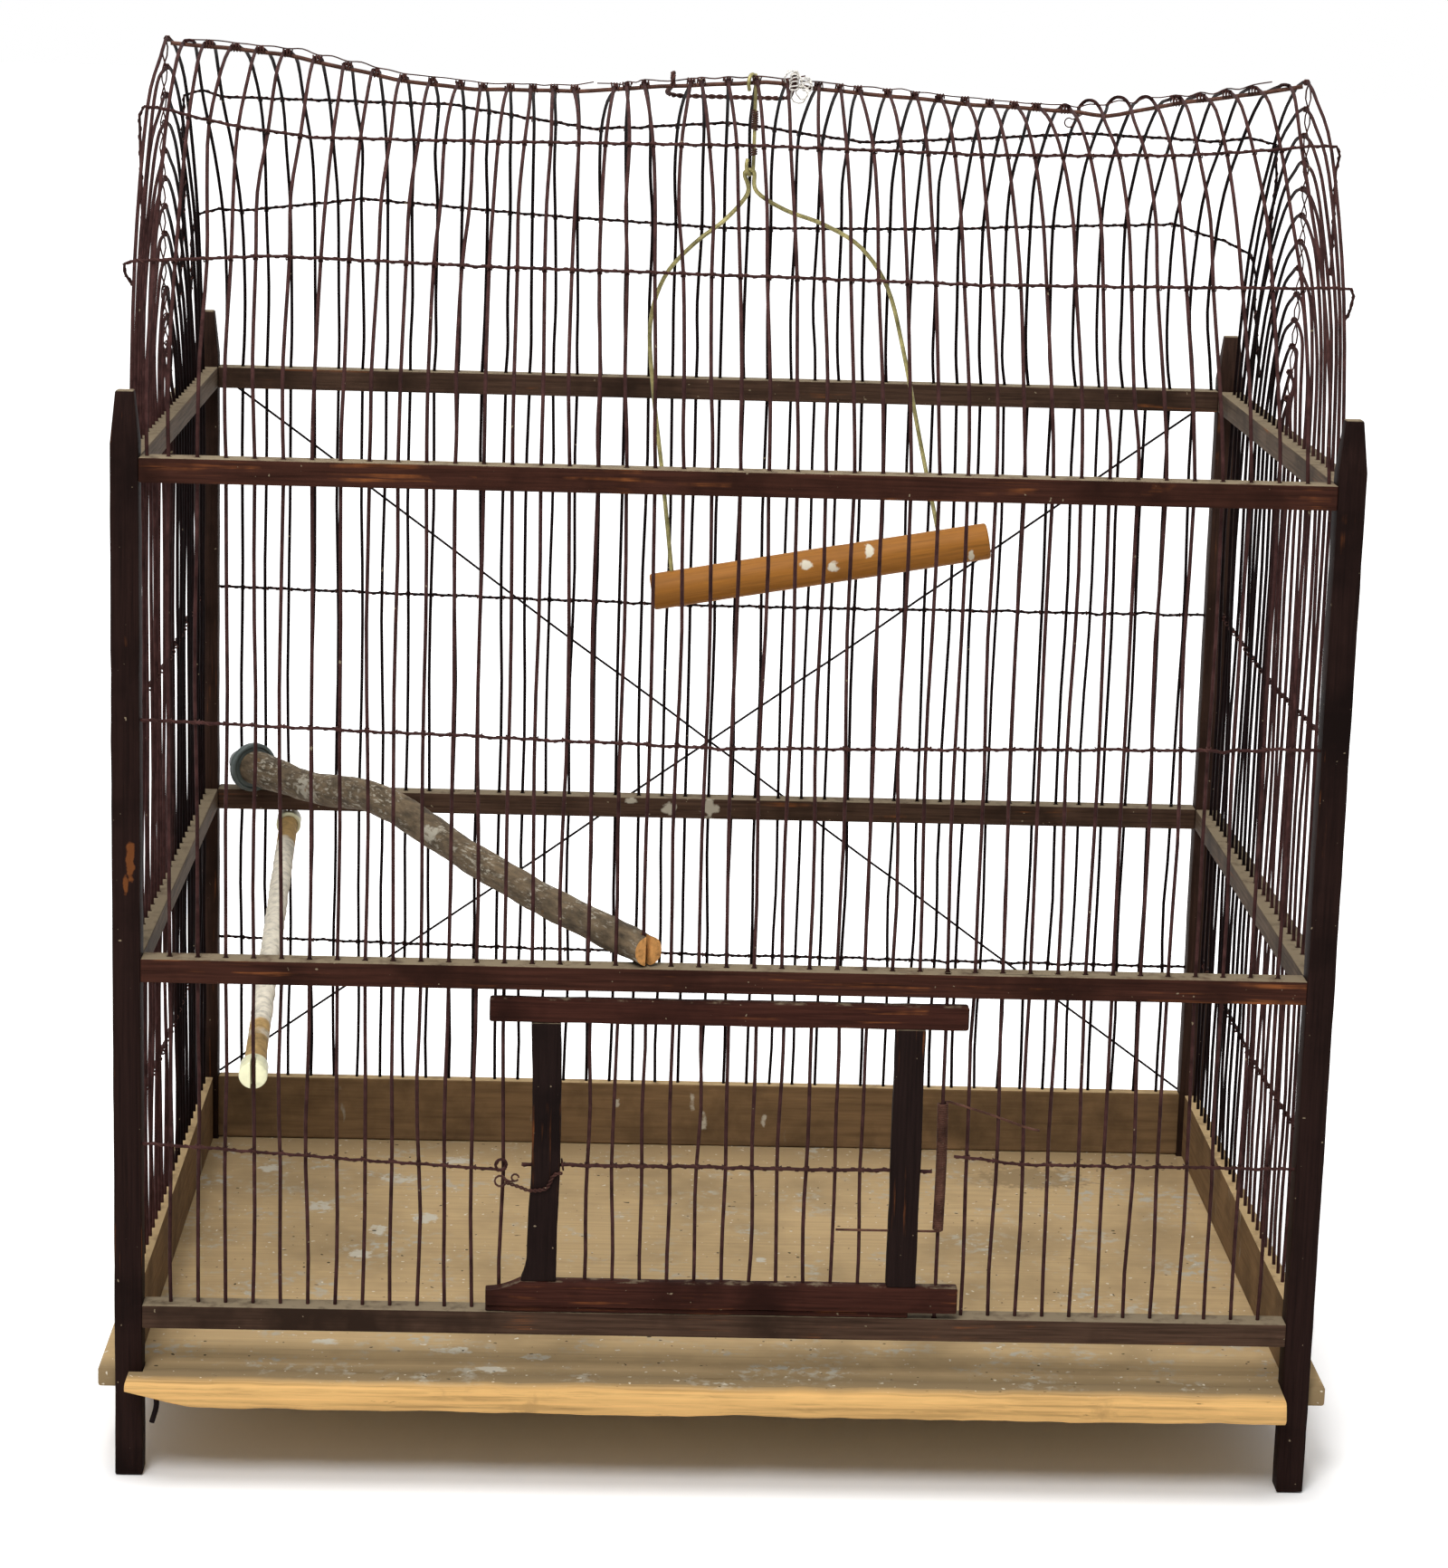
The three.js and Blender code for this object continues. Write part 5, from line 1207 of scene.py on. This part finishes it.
class CAGE_OT_wall_cross(bpy.types.Operator):
    """The cross wires of the four walls and the two thin braces over the back"""
    bl_idname = "cage.wall_cross"
    bl_label = "Wall cross wires"

    def execute(self, context):
        reach_y = (SIDE_RAIL_HIGH.y - SIDE_RAIL_LOW.y) / 2
        for seed, (name, shares) in enumerate(WALL_WIRES):
            side, tier = name.split("_")
            low, high = (MID_TOP, WALL_TOP) if tier == "upper" else (BOARD_TOP, MID_TOP)
            ends, count = (-RAIL_HIGH.x, 0, RAIL_HIGH.x), FRONT_WIRES
            if WALLS[side][0]:
                ends, count = (MIDDLE_Y - reach_y, MIDDLE_Y, MIDDLE_Y + reach_y), SIDE_WIRES
            stations = [(t, low + (high - low) * share) for t, share in zip(ends, shares)]
            wall_wire(name, name, side, stations, range(count),
                      seed + (3 if tier == "lower" else 0))
        left, right = ([BOARD_TOP + (MID_TOP - BOARD_TOP) * share for share in shares]
                       for shares in (LEFT_OF_DOOR, RIGHT_OF_DOOR))
        eye, beyond = front_x(EYE_WIRE), OVER_DOOR.stop
        wall_wire("left_of_door", "front_lower_left", "front", [
            (-RAIL_HIGH.x, left[0]), (eye - PITCH, left[1]), (eye, left[2] - 2.2 * MM)],
            range(EYE_WIRE), 21, curl=True)
        wall_wire("right_of_door", "front_lower_right", "front", [
            (front_x(beyond) - PITCH / 2, right[0]), (front_x(beyond + 2), right[1]),
            (RAIL_HIGH.x, right[2])], range(beyond, FRONT_WIRES), 22)

        steps = 24
        for node in ("back_brace_falling", "back_brace_rising"):
            a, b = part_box(node)
            middle = (a.y + b.y) / 2
            heights = (b.z, a.z) if node.endswith("falling") else (a.z, b.z)
            start, end = (vec(x, middle, z) for x, z in zip((a.x, b.x), heights))
            run = [start.lerp(end, k / steps) for k in range(steps + 1)]
            for k, point in enumerate(run):
                sag = stray(k * 0.13 + 40, 0.2, 0.8 * MM) - 1.2 * MM
                point.z += sag * math.sin(math.pi * k / steps)
            settle(lay_wires([run], 1.25 * MM, sides=6), node + "_round", "dark_wire", node)
        return {"FINISHED"}


class CAGE_OT_door(bpy.types.Operator):
    """The door's bars and stiles and the strip under it"""
    bl_idname = "cage.door"
    bl_label = "Door frame"

    def execute(self, context):
        edge, wear = sizes().edge, sizes().wear
        top = add_bar(*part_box("door_top_bar"), 30, edge * 1.5, wear * 1.2)
        settle(top, "door_top_bar_worn", "door", "door_top_bar", body="door")

        # The bottom bar's outer upper corner is worn to a hollow slope
        low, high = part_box("door_bottom_bar")
        bottom = add_bar(low, high, 60, edge * 1.3, wear)
        cut_away(bottom, add_round(31 * MM, 40 * MM, (
            low.x - 0.6 * MM, (low.y + high.y) / 2, high.z + 26.4 * MM), (math.pi / 2, 0, 0), 120))
        settle(bottom, "door_bottom_bar_worn", "door", "door_bottom_bar", body="door")

        def flare(piece):
            # The left stile is pulled out at its foot and rubbed thin over its middle
            low, high = LEFT_STILE
            pick(piece, "verts", lambda v: v.co.x < low.x + HAIR and v.co.z < low.z + HAIR)
            bpy.ops.transform.translate(
                value=(-2.6 * MM, 0, 0), use_proportional_edit=True,
                proportional_edit_falloff="SHARP", proportional_size=11 * MM)
            pick(piece, "verts", lambda v: v.co.x < low.x + HAIR
                 and abs(v.co.z - low.z * 0.4 - high.z * 0.6) < 20 * MM)
            bpy.ops.transform.translate(
                value=(1.2 * MM, 0, 0), use_proportional_edit=True,
                use_proportional_connected=True, proportional_size=34 * MM)
        for node, late in (("door_stile_left", flare), ("door_stile_right", None)):
            stile = add_bar(*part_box(node), 44, edge, wear, late=late)
            settle(stile, node + "_worn", "stile", node, body="door")

        sill = add_bar(*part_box("door_sill"), 40, 0.5 * MM, 0.3 * MM)
        settle(sill, "door_sill_worn", "door", "door_sill")
        return {"FINISHED"}


class CAGE_OT_door_wires(bpy.types.Operator):
    """The door's upright wires on their cross wire, and the wire that it turns on"""
    bl_idname = "cage.door_wires"
    bl_label = "Door wires"

    def execute(self, context):
        low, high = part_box("door_wires")
        hold, steps = 2 * MM, 34
        middle = (LEFT_STILE[1].x + RIGHT_STILE[0].x) / 2
        places = [middle + (i - (DOOR_WIRES - 1) / 2) * PITCH for i in range(DOOR_WIRES)]
        runs = [storey(x, HINGE.y, low.z - hold, high.z + hold, i + 200, sizes().wall_stray,
                       count=9, deep=0.2) for i, x in enumerate(places)]
        cross = [vec(low.x + (high.x - low.x) * k / steps, HINGE.y - 0.9 * MM,
                     DOOR_CROSS_Z + stray(k * 0.61, 4, 0.5 * MM)) for k in range(steps + 1)]
        settle(lay_wires(runs + [cross], WIRE), "door_wires_round", "rust", "door_wires",
               body="door")
        bound = knots([(vec(x, HINGE.y - 0.4 * MM, DOOR_CROSS_Z), vec(1, 0, 0), UP)
                       for x in places], 1.3 * MM, KNOT)
        settle(join(lashing(cross, WIRE), bound), "door_wires_lashing", "lash", body="door")

        low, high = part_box("hinge_wire")
        pin = storey(HINGE.x, HINGE.y, low.z, high.z, 260, 0.15 * MM, count=12)
        settle(lay_wires([pin], WIRE), "hinge_wire_round", "rust", "hinge_wire")
        return {"FINISHED"}


class CAGE_OT_spring(bpy.types.Operator):
    """The close-wound spring on the door's hinge wire"""
    bl_idname = "cage.spring"
    bl_label = "Door spring"

    def execute(self, context):
        low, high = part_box("door_spring")
        radius, wire, tall = 2.15 * MM, 0.72 * MM, 57.6 * MM
        turns, per_turn = sizes().spring_turns, 10
        front, back = HINGE.y - radius, HINGE.y + radius
        top = SPRING_BOTTOM + tall
        points = [vec(low.x, front, SPRING_BOTTOM), vec(HINGE.x - 1.2 * MM, front, SPRING_BOTTOM)]
        for k in range(turns * per_turn + per_turn // 2 + 1):
            share = k / (turns * per_turn)
            angle = TURN * k / per_turn - math.pi / 2
            lean = 0.35 * MM * math.sin(math.pi * share)
            points.append(vec(HINGE.x + lean + radius * math.cos(angle),
                              HINGE.y + radius * math.sin(angle), SPRING_BOTTOM + tall * share))
        arm = smooth([vec(HINGE.x + 3 * MM, back, top + 0.4 * MM),
                      vec(HINGE.x + 21 * MM, back, top - 5 * MM),
                      vec(high.x - 6 * MM, back, top - 10.6 * MM),
                      vec(high.x, back, top - 12 * MM)], 3)
        # Both arms are drawn thicker than the coil
        girths = [1.5, 1.5] + [1] * (len(points) - 2) + [1.6] * len(arm)
        settle(lay_wires([points + arm], wire, sides=6, girths=girths), "door_spring_coil",
               "spring", "door_spring")
        return {"FINISHED"}


class CAGE_OT_link(bpy.types.Operator):
    """The twisted wire link that ties the door shut"""
    bl_idname = "cage.link"
    bl_label = "Door link"

    def execute(self, context):
        low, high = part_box("latch_link")
        eye = vec(front_x(EYE_WIRE), low.y + 0.7 * MM, DOOR_CROSS_Z - 7 * MM)
        ring_x, size = high.x - 0.7 * MM, 2.4 * MM

        def beside(right, up):
            return eye + vec(right * MM, 0, up * MM)

        def loop(middle, radius, turns):
            return arc(middle, vec(radius, 0, 0), vec(0, 0, radius), 0, math.pi / 5, turns * 10,
                       vec(0, 0.05 * MM, 0))
        strand = smooth([
            beside(2.4, 0), beside(9, -2.2), beside(13, -3.6), beside(20, -2.4),
            vec(LEFT_STILE[1].x - 2 * MM, eye.y, DOOR_CROSS_Z - 3.6 * MM),
            vec(ring_x, eye.y + 0.6 * MM, DOOR_CROSS_Z - 2.5 * MM)])
        curls = [loop(beside(0, 0.4), 2.5 * MM, 2), loop(beside(6.4, 2.2), 1.6 * MM, 1),
                 smooth([beside(1.5, 2), beside(4, 0.6), beside(6.4, 0.7)])]
        ring = arc(vec(ring_x, HINGE.y - 0.5 * MM, DOOR_CROSS_Z), vec(0, -size, 0),
                   vec(-0.4 * MM, 0, size), 0, math.pi / 5, 21)
        link = lay_wires(twisted(strand, 0.5 * MM, 4.2 * MM) + curls + [ring], 0.85 * MM, sides=6)
        settle(link, "latch_link_twisted", "lash", "latch_link", body="latch")
        return {"FINISHED"}


class CAGE_OT_handle(bpy.types.Operator):
    """The twisted carrying handle, with white thread wound round its right end"""
    bl_idname = "cage.handle"
    bl_label = "Carrying handle"

    def execute(self, context):
        pivot = pivot_of("handle_fold")
        ring, reach, bow, slope = 4 * MM, 46 * MM, 6 * MM, math.atan(0.18)
        left_x, right_x = -30 * MM, 25 * MM

        def arm(x, stations):
            return [vec(x + bow * aside, pivot.y + reach * out * math.cos(slope),
                        pivot.z - reach * out * math.sin(slope)) for aside, out in stations]

        def eye(x):
            return arc(vec(x, pivot.y, pivot.z), vec(0, ring, 0), vec(0, 0, ring),
                       HALF_TURN + EIGHTH - slope, -EIGHTH, 6)
        # Shares of the bow and of the reach along each arm
        left = arm(left_x, ((0, 0.2), (-0.2, 0.5), (-0.33, 0.74), (0, 0.935), (0.6, 0.99),
                            (1.4, 1)))
        right = arm(right_x, ((0, 0.2), (0, 0.74), (-0.15, 0.9), (-0.9, 0.985), (-1.6, 1)))
        line = smooth(eye(left_x) + left + right[::-1] + eye(right_x)[::-1])
        settle(lay_wires(twisted(line, 0.62 * MM, 7.5 * MM, 8), 1.25 * MM),
               "carrying_handle_twisted", "lash", "carrying_handle", body="handle")

        # Turns round the end's eye, and loose loops: how far right and up, and their reach, in mm
        thread = [wind(smooth(eye(right_x), 3), 1.7 * MM, 1.5 * MM, 0, 7)]
        for k, (across, up, size) in enumerate((
                (-1, -1.5, 3.4), (0.5, -2, 2.6), (2.6, -8, 3.6), (3.6, -7, 2.8), (5.6, -3, 2.2),
                (6, -4.5, 2.2))):
            middle = vec(right_x + across * MM, pivot.y - 2 * MM, pivot.z + ring + up * MM)
            thread.append([middle + size * MM * vec(
                math.cos(a) + stray(k, a * 0.7, 0.3), stray(k + 5, a, 0.8),
                math.sin(a) + stray(k + 9, a * 0.6, 0.3)) for a in [j * 0.5 for j in range(18)]])
        settle(lay_wires(thread, 0.75 * MM, sides=4), "thread_winding", "thread", body="handle")
        return {"FINISHED"}


class CAGE_OT_swing(bpy.types.Operator):
    """The swing's hook, bent wire and turned bar"""
    bl_idname = "cage.swing"
    bl_label = "Swing"

    def execute(self, context):
        tip, pivot = pivot_of("hook_tip"), pivot_of("swing_rock")
        ring = 4.2 * MM
        low = vec(tip.x, tip.y, pivot.z + ring)
        line = [part for middle, start in ((tip, HALF_TURN + EIGHTH), (low, 0))
                for part in arc(middle, vec(0, ring, 0), vec(0, 0, ring), start, -EIGHTH, 6)]
        # The hook is turned a little, so that both of its legs show
        aside = (Matrix.Translation((tip.x, tip.y, 0)) @ Matrix.Rotation(math.radians(-25), 4, "Z")
                 @ Matrix.Translation((-tip.x, -tip.y, 0)))
        hook = lay_wires([[aside @ p for p in smooth(line)]], 1.8 * MM)
        settle(hook, "swing_hook_round", "brass", "swing_hook", body="hook")
        leg = aside @ vec(tip.x, tip.y + ring, 0)
        wraps = [wind([leg + UP * high, leg + UP * low], 1.35 * MM, 1.0 * MM, 0, 8)
                 for high, low in ((594 * MM, 585 * MM), (577 * MM, 573.5 * MM))]
        settle(lay_wires(wraps, 0.8 * MM, sides=6), "hook_wraps", "lash", body="hook")

        half, drop, bend = 63.5 * MM, 184 * MM, 1.9 * MM + GAP
        turn = Matrix.Translation(pivot) @ Matrix.Rotation(-SWING_TILT, 4, "Y")
        # Shares of the half width and of the drop down each side of the wire
        shares = ((0.035, 0.045), (0.22, 0.1), (0.48, 0.15), (0.72, 0.22), (0.87, 0.33),
                  (0.92, 0.49), (0.95, 0.72), (1, 1.02))
        left, right = ([vec(way * half * a, 0, -drop * b) for a, b in shares] for way in (-1, 1))
        top = arc(vec(0, 0, 0), vec(bend, 0, 0), vec(0, 0, bend), HALF_TURN, -EIGHTH, 5)
        path = smooth(left[::-1] + top + right, 5)
        settle(lay_wires([[turn @ p for p in path]], 2 * MM), "swing_wire_round", "brass",
               "swing_wire", body="swing")

        radius, long, offset = 8.5 * MM, 159 * MM, 6 * MM
        bar = add_round(radius, long, (0, 0, 0), (0, math.pi / 2, 0), 40)
        with editing(bar):
            pick(bar, "edges", along(0))
            bpy.ops.mesh.subdivide(number_cuts=16)
            round_off(bar, 1.3 * MM, 4)
        fix_place(bar, turn @ Matrix.Translation((offset, 0, -drop)))
        roughen(bar, 0.2 * MM, 30 * MM)
        settle(bar, "swing_bar_turned", "beech", "swing_bar", body="swing")
        return {"FINISHED"}


# Half the width of the slots in the perches
SLOT = 1.25 * MM


def rim(axis, middle, radius):
    """A test for the sharp edges of a round's rim."""
    def test(edge):
        away = [vert.co - middle for vert in edge.verts]
        for way in away:
            way[axis] = 0
        return sharp(edge) and min(way.length for way in away) > radius * 0.98
    return test


class CAGE_OT_branch(bpy.types.Operator):
    """The branch perch and its grey slotted cap"""
    bl_idname = "cage.branch"
    bl_label = "Branch perch"

    def execute(self, context):
        run = (BRANCH_FRONT - BRANCH_BACK).length
        turn = Matrix.Translation(BRANCH_BACK) @ Matrix.Rotation(BRANCH_ANGLE, 4, "Z")
        radius, cap_radius, cap, hub = 6.9 * MM, 12.5 * MM, 4 * MM, 10.5 * MM
        rest = MID_TOP + GAP
        back_z, front_z = rest + cap_radius, rest + radius
        start, end = hub + cap, run + 4 * MM
        # Shares of the length, how far it bows up there, and how thick it is
        shares = (
            (0, 0, 1.2), (0.1, 0.15, 1.16), (0.2, 0.4, 1.14), (0.3, 0.9, 1.13), (0.38, 1, 1.09),
            (0.48, 0.75, 1.05), (0.62, 0.35, 1.06), (0.8, 0.08, 1.02), (1, 0, 1))
        points = smooth([vec(start + (end - start) * a, 0,
                             back_z + (front_z - back_z) * a + 12.5 * MM * b)
                         for a, b, _ in shares], 10)
        girths = [girth.x for girth in smooth([vec(c, 0, 0) for _, _, c in shares], 10)]
        branch = lay_wires([points], 2 * radius, sides=24, girths=girths)
        mend(branch)
        roughen(branch, 1.2 * MM, 30 * MM)
        roughen(branch, 0.5 * MM, 7 * MM, 3)
        fix_place(branch, turn)
        tall = vec(0, 0, 20 * MM)
        cut_away(branch, add_box(vec(run - SLOT, -SLOT, front_z) - tall,
                                 vec(end + 5 * MM, SLOT, front_z) + tall, turn))
        settle(branch, "branch_with_bark", "bark", "branch_perch", angle=60)
        # The end and the slot show cut wood
        branch.data.materials.append(finish_of("cut"))
        for face in branch.data.polygons:
            middle = turn.inverted() @ face.center
            if middle.x > run - 2 * MM and (
                    face.normal.dot(BRANCH_WAY) > 0.9 or abs(middle.y) < SLOT * 1.1):
                face.material_index = 1

        quarter = (0, math.pi / 2, 0)
        disc = add_round(cap_radius, cap, (hub + cap / 2, 0, back_z), quarter, 56)
        with editing(disc):
            pick(disc, "faces", lambda f: f.normal.x > 0.9)
            bpy.ops.mesh.inset(thickness=1.6 * MM, depth=0)
            bpy.ops.mesh.inset(thickness=0.8 * MM, depth=-0.9 * MM)
            round_off(disc, 0.9 * MM, 3, rim(0, vec(0, 0, back_z), cap_radius))
        stub = add_round(7 * MM, hub + 4.5 * MM, ((hub - 4 * MM) / 2, 0, back_z), quarter, 40)
        with editing(stub):
            for way, share in ((-1, 0.8), (1, 1.45)):
                pick(stub, "faces", lambda f: f.normal.x * way > 0.9)
                bpy.ops.transform.resize(value=(1, share, share), center_override=(0, 0, back_z))
            round_off(stub, 0.8 * MM, 2)
        for piece in (disc, stub):
            fix_place(piece, turn)
        cut_away(stub, add_box(vec(-9 * MM, -SLOT, back_z) - tall,
                               vec(SLOT, SLOT, back_z) + tall, turn))
        settle(join(disc, stub), "branch_cap_moulded", "grey", "branch_cap", angle=35)
        return {"FINISHED"}


class CAGE_OT_dowel(bpy.types.Operator):
    """The crusted dowel perch and its two slotted caps"""
    bl_idname = "cage.dowel"
    bl_label = "Dowel perch"

    def execute(self, context):
        back, front = vec(front_x(2), BACK_Y, 218.5 * MM), vec(front_x(3), FRONT_Y, 184.5 * MM)
        ahead, run = (back - front).normalized(), (back - front).length
        side = ahead.cross(UP).normalized()
        turn = Matrix.Translation(front) @ Matrix(
            (side, ahead, side.cross(ahead))).transposed().to_4x4()
        seat, length, radius, outer, outside = 4.4 * MM, 11 * MM, 4.75 * MM, 6.25 * MM, 4 * MM
        steps = 90
        points = [vec(0, seat + (run - 2 * seat) * k / steps, 0) for k in range(steps + 1)]
        dowel = lay_wires([points], 2 * radius, sides=20)
        mend(dowel)
        dowel.vertex_groups.new(name="crusted").add(
            [v.index for v in dowel.data.vertices if 0.17 * run < v.co.y < 0.85 * run],
            1.0, "REPLACE")
        roughen(dowel, 0.8 * MM, 6 * MM, group="crusted")
        fix_place(dowel, turn)
        settle(dowel, "dowel_crusted", "dowel", "dowel_perch", angle=60)

        for name, end, inward in (("front", 0, 1), ("back", run, -1)):
            outer_end, inner_end = end - inward * outside, end + inward * (length - outside)
            cup = add_round(outer, length, (0, (outer_end + inner_end) / 2, 0),
                            (math.pi / 2, 0, 0))
            with editing(cup):
                pick(cup, "faces", lambda f: f.normal.y * inward > 0.9)
                bpy.ops.mesh.inset(thickness=outer - radius - 0.25 * MM, depth=0)
                bpy.ops.mesh.inset(thickness=HAIR, depth=-(length - outside - seat))
                round_off(cup, 0.7 * MM, 3, rim(1, vec(0, 0, 0), outer))
            near, far = sorted((outer_end - inward * 5 * MM, end + inward * 1.8 * MM))
            cut_away(cup, add_box(vec(-SLOT, near, -9 * MM), vec(SLOT, far, 9 * MM)))
            fix_place(cup, turn)
            settle(cup, f"dowel_cap_{name}_moulded", "cream", "dowel_cap_" + name, angle=35)
        return {"FINISHED"}


def seen_directly(tree):
    """1 for rays from the camera, mirrors and glass, so that they see white."""
    rays = add_node(tree, "LightPath", {}).node.outputs
    either = add_node(tree, "Math", {0: rays["Is Camera Ray"], 1: rays["Is Glossy Ray"]},
                      operation="MAXIMUM")
    return add_node(tree, "Math", {0: either, 1: rays["Is Transmission Ray"]},
                    operation="MAXIMUM")


def white_paper():
    """Paper that looks evenly white away from the cage, as under the lamps of a large studio."""
    finish, tree, place = start_finish("matt_white_paper", 0.95, 0.1)
    sockets = tree.nodes["Principled BSDF"].inputs
    paper = add_node(tree, "TexNoise", {"Vector": place, "Scale": 3.0})
    tone = add_node(tree, "ValToRGB", {"Fac": paper},
                    stops=((0.3, linear("f6f5f5")), (0.7, linear("fafafa"))))
    quarter = add_node(tree, "VectorMath", {0: place}, operation="ABSOLUTE")
    beyond = add_node(tree, "VectorMath", {
        0: quarter, 1: (CAD_HIGH.x - 12 * MM, POST / 2 - FRONT_Y, 0)}, operation="SUBTRACT")
    outside = add_node(tree, "VectorMath", {0: beyond, 1: (0, 0, 0)}, operation="MAXIMUM")
    away = add_node(tree, "VectorMath", {0: outside}, "Value", operation="LENGTH")
    fade = add_node(tree, "MapRange", {"Value": away, "From Max": 500 * MM})
    levels = add_node(tree, "ValToRGB", {"Fac": fade}, stops=(
        (0, BLACK), (0.07, shade(WHITE, 0.35)), (0.3, shade(WHITE, 0.75)), (1, WHITE)))
    sockets["Emission Color"].default_value = WHITE
    tree.links.new(tone, sockets["Base Color"])
    tree.links.new(where(tree, seen_directly(tree), levels), sockets["Emission Strength"])
    return finish


class CAGE_OT_stage(bpy.types.Operator):
    """The pale floor, the soft light and the camera"""
    bl_idname = "cage.stage"
    bl_label = "Stage"

    def execute(self, context):
        scene = context.scene
        bpy.ops.object.select_all(action="DESELECT")
        bpy.ops.mesh.primitive_plane_add(size=30, location=(0, 0, -0.3 * MM))
        ground = context.object
        ground.name = "pale_ground"
        ground.data.materials.append(white_paper())

        # Lamps light the cage mostly from above; the view past it is white
        world = bpy.data.worlds.new("soft_studio")
        world.use_nodes = True
        scene.world = world
        tree = world.node_tree
        sockets = tree.nodes["Background"].inputs
        way = add_node(tree, "TexCoord", {}, "Generated")
        height = add_node(tree, "SeparateXYZ", {0: way}, "Z")
        sky = add_node(tree, "MapRange", {
            "Value": height, "From Min": 0.15, "From Max": 0.8, "To Min": 0.02, "To Max": 0.5})
        strength = add_node(tree, "Mix", {0: seen_directly(tree), 2: sky, 3: 1.0},
                            data_type="FLOAT")
        sockets["Color"].default_value = WHITE
        tree.links.new(strength, sockets["Strength"])

        aim = vec(0, 0, 0.3)
        for name, place, size, power in (("overhead_softbox", vec(-0.25, -0.35, 2.4), 1.7, 33),
                                         ("front_softbox", vec(-0.6, -2.0, 2.5), 0.9, 50)):
            bpy.ops.object.light_add(type="AREA", location=place)
            lamp = context.object
            lamp.name = name
            lamp.data.shape = "SQUARE"
            lamp.data.size = size
            lamp.data.energy = power
            lamp.rotation_mode = "QUATERNION"
            lamp.rotation_quaternion = (aim - place).to_track_quat("-Z", "Y")

        # The camera of the photograph: its angles in radians, and its focal length and the
        # picture's height in pixels
        bpy.ops.object.camera_add(location=(-57.71 * MM, -1800.86 * MM, 678.96 * MM))
        camera = context.object
        camera.name = "photo_camera"
        pitch, yaw, roll, focal, tall, sensor = 0.2174, -0.0332, 0.0286, 4327.94, 1732, 36
        forward = vec(-math.sin(yaw) * math.cos(pitch), math.cos(yaw) * math.cos(pitch),
                      -math.sin(pitch))
        up = vec(-math.sin(yaw) * math.sin(pitch), math.cos(yaw) * math.sin(pitch),
                 math.cos(pitch))
        right = vec(math.cos(yaw), math.sin(yaw), 0)
        across = right * math.cos(roll) + up * math.sin(roll)
        upright = up * math.cos(roll) - right * math.sin(roll)
        camera.rotation_mode = "QUATERNION"
        camera.rotation_quaternion = Matrix(
            (across, upright, -forward)).transposed().to_quaternion()
        camera.data.sensor_width = sensor
        camera.data.lens = sensor * focal / tall
        camera.data.clip_start, camera.data.clip_end = 0.05, 60
        scene.camera = camera
        scene.view_settings.view_transform = "Standard"
        return {"FINISHED"}


STEPS = (
    CAGE_OT_stage, CAGE_OT_posts, CAGE_OT_rails, CAGE_OT_floor, CAGE_OT_hoops, CAGE_OT_gables,
    CAGE_OT_ridge, CAGE_OT_roof_cross, CAGE_OT_wall_cross, CAGE_OT_door, CAGE_OT_door_wires,
    CAGE_OT_spring, CAGE_OT_link, CAGE_OT_handle, CAGE_OT_swing, CAGE_OT_branch, CAGE_OT_dowel,
)


class CAGE_PT_panel(bpy.types.Panel):
    """Lists the cage's sizes and colours and the steps that make it"""
    bl_idname = "CAGE_PT_panel"
    bl_label = "Old wire birdcage"
    bl_space_type = "VIEW_3D"
    bl_region_type = "UI"
    bl_category = "Birdcage"

    def draw(self, context):
        column = self.layout.column(align=True)
        for group in (context.scene.birdcage_sizes, context.scene.birdcage_colours):
            for key in type(group).__annotations__:
                column.prop(group, key)
        for step in STEPS:
            column.operator(step.bl_idname)


CLASSES = (CageSizes, CageColours, *STEPS, CAGE_PT_panel)


def register():
    for kind in CLASSES:
        bpy.utils.register_class(kind)
    bpy.types.Scene.birdcage_sizes = bpy.props.PointerProperty(type=CageSizes)
    bpy.types.Scene.birdcage_colours = bpy.props.PointerProperty(type=CageColours)


def unregister():
    del bpy.types.Scene.birdcage_colours
    del bpy.types.Scene.birdcage_sizes
    for kind in reversed(CLASSES):
        bpy.utils.unregister_class(kind)


def main():
    register()
    for step in STEPS:
        group, name = step.bl_idname.split(".")
        getattr(getattr(bpy.ops, group), name)()


if __name__ == "__main__":
    main()
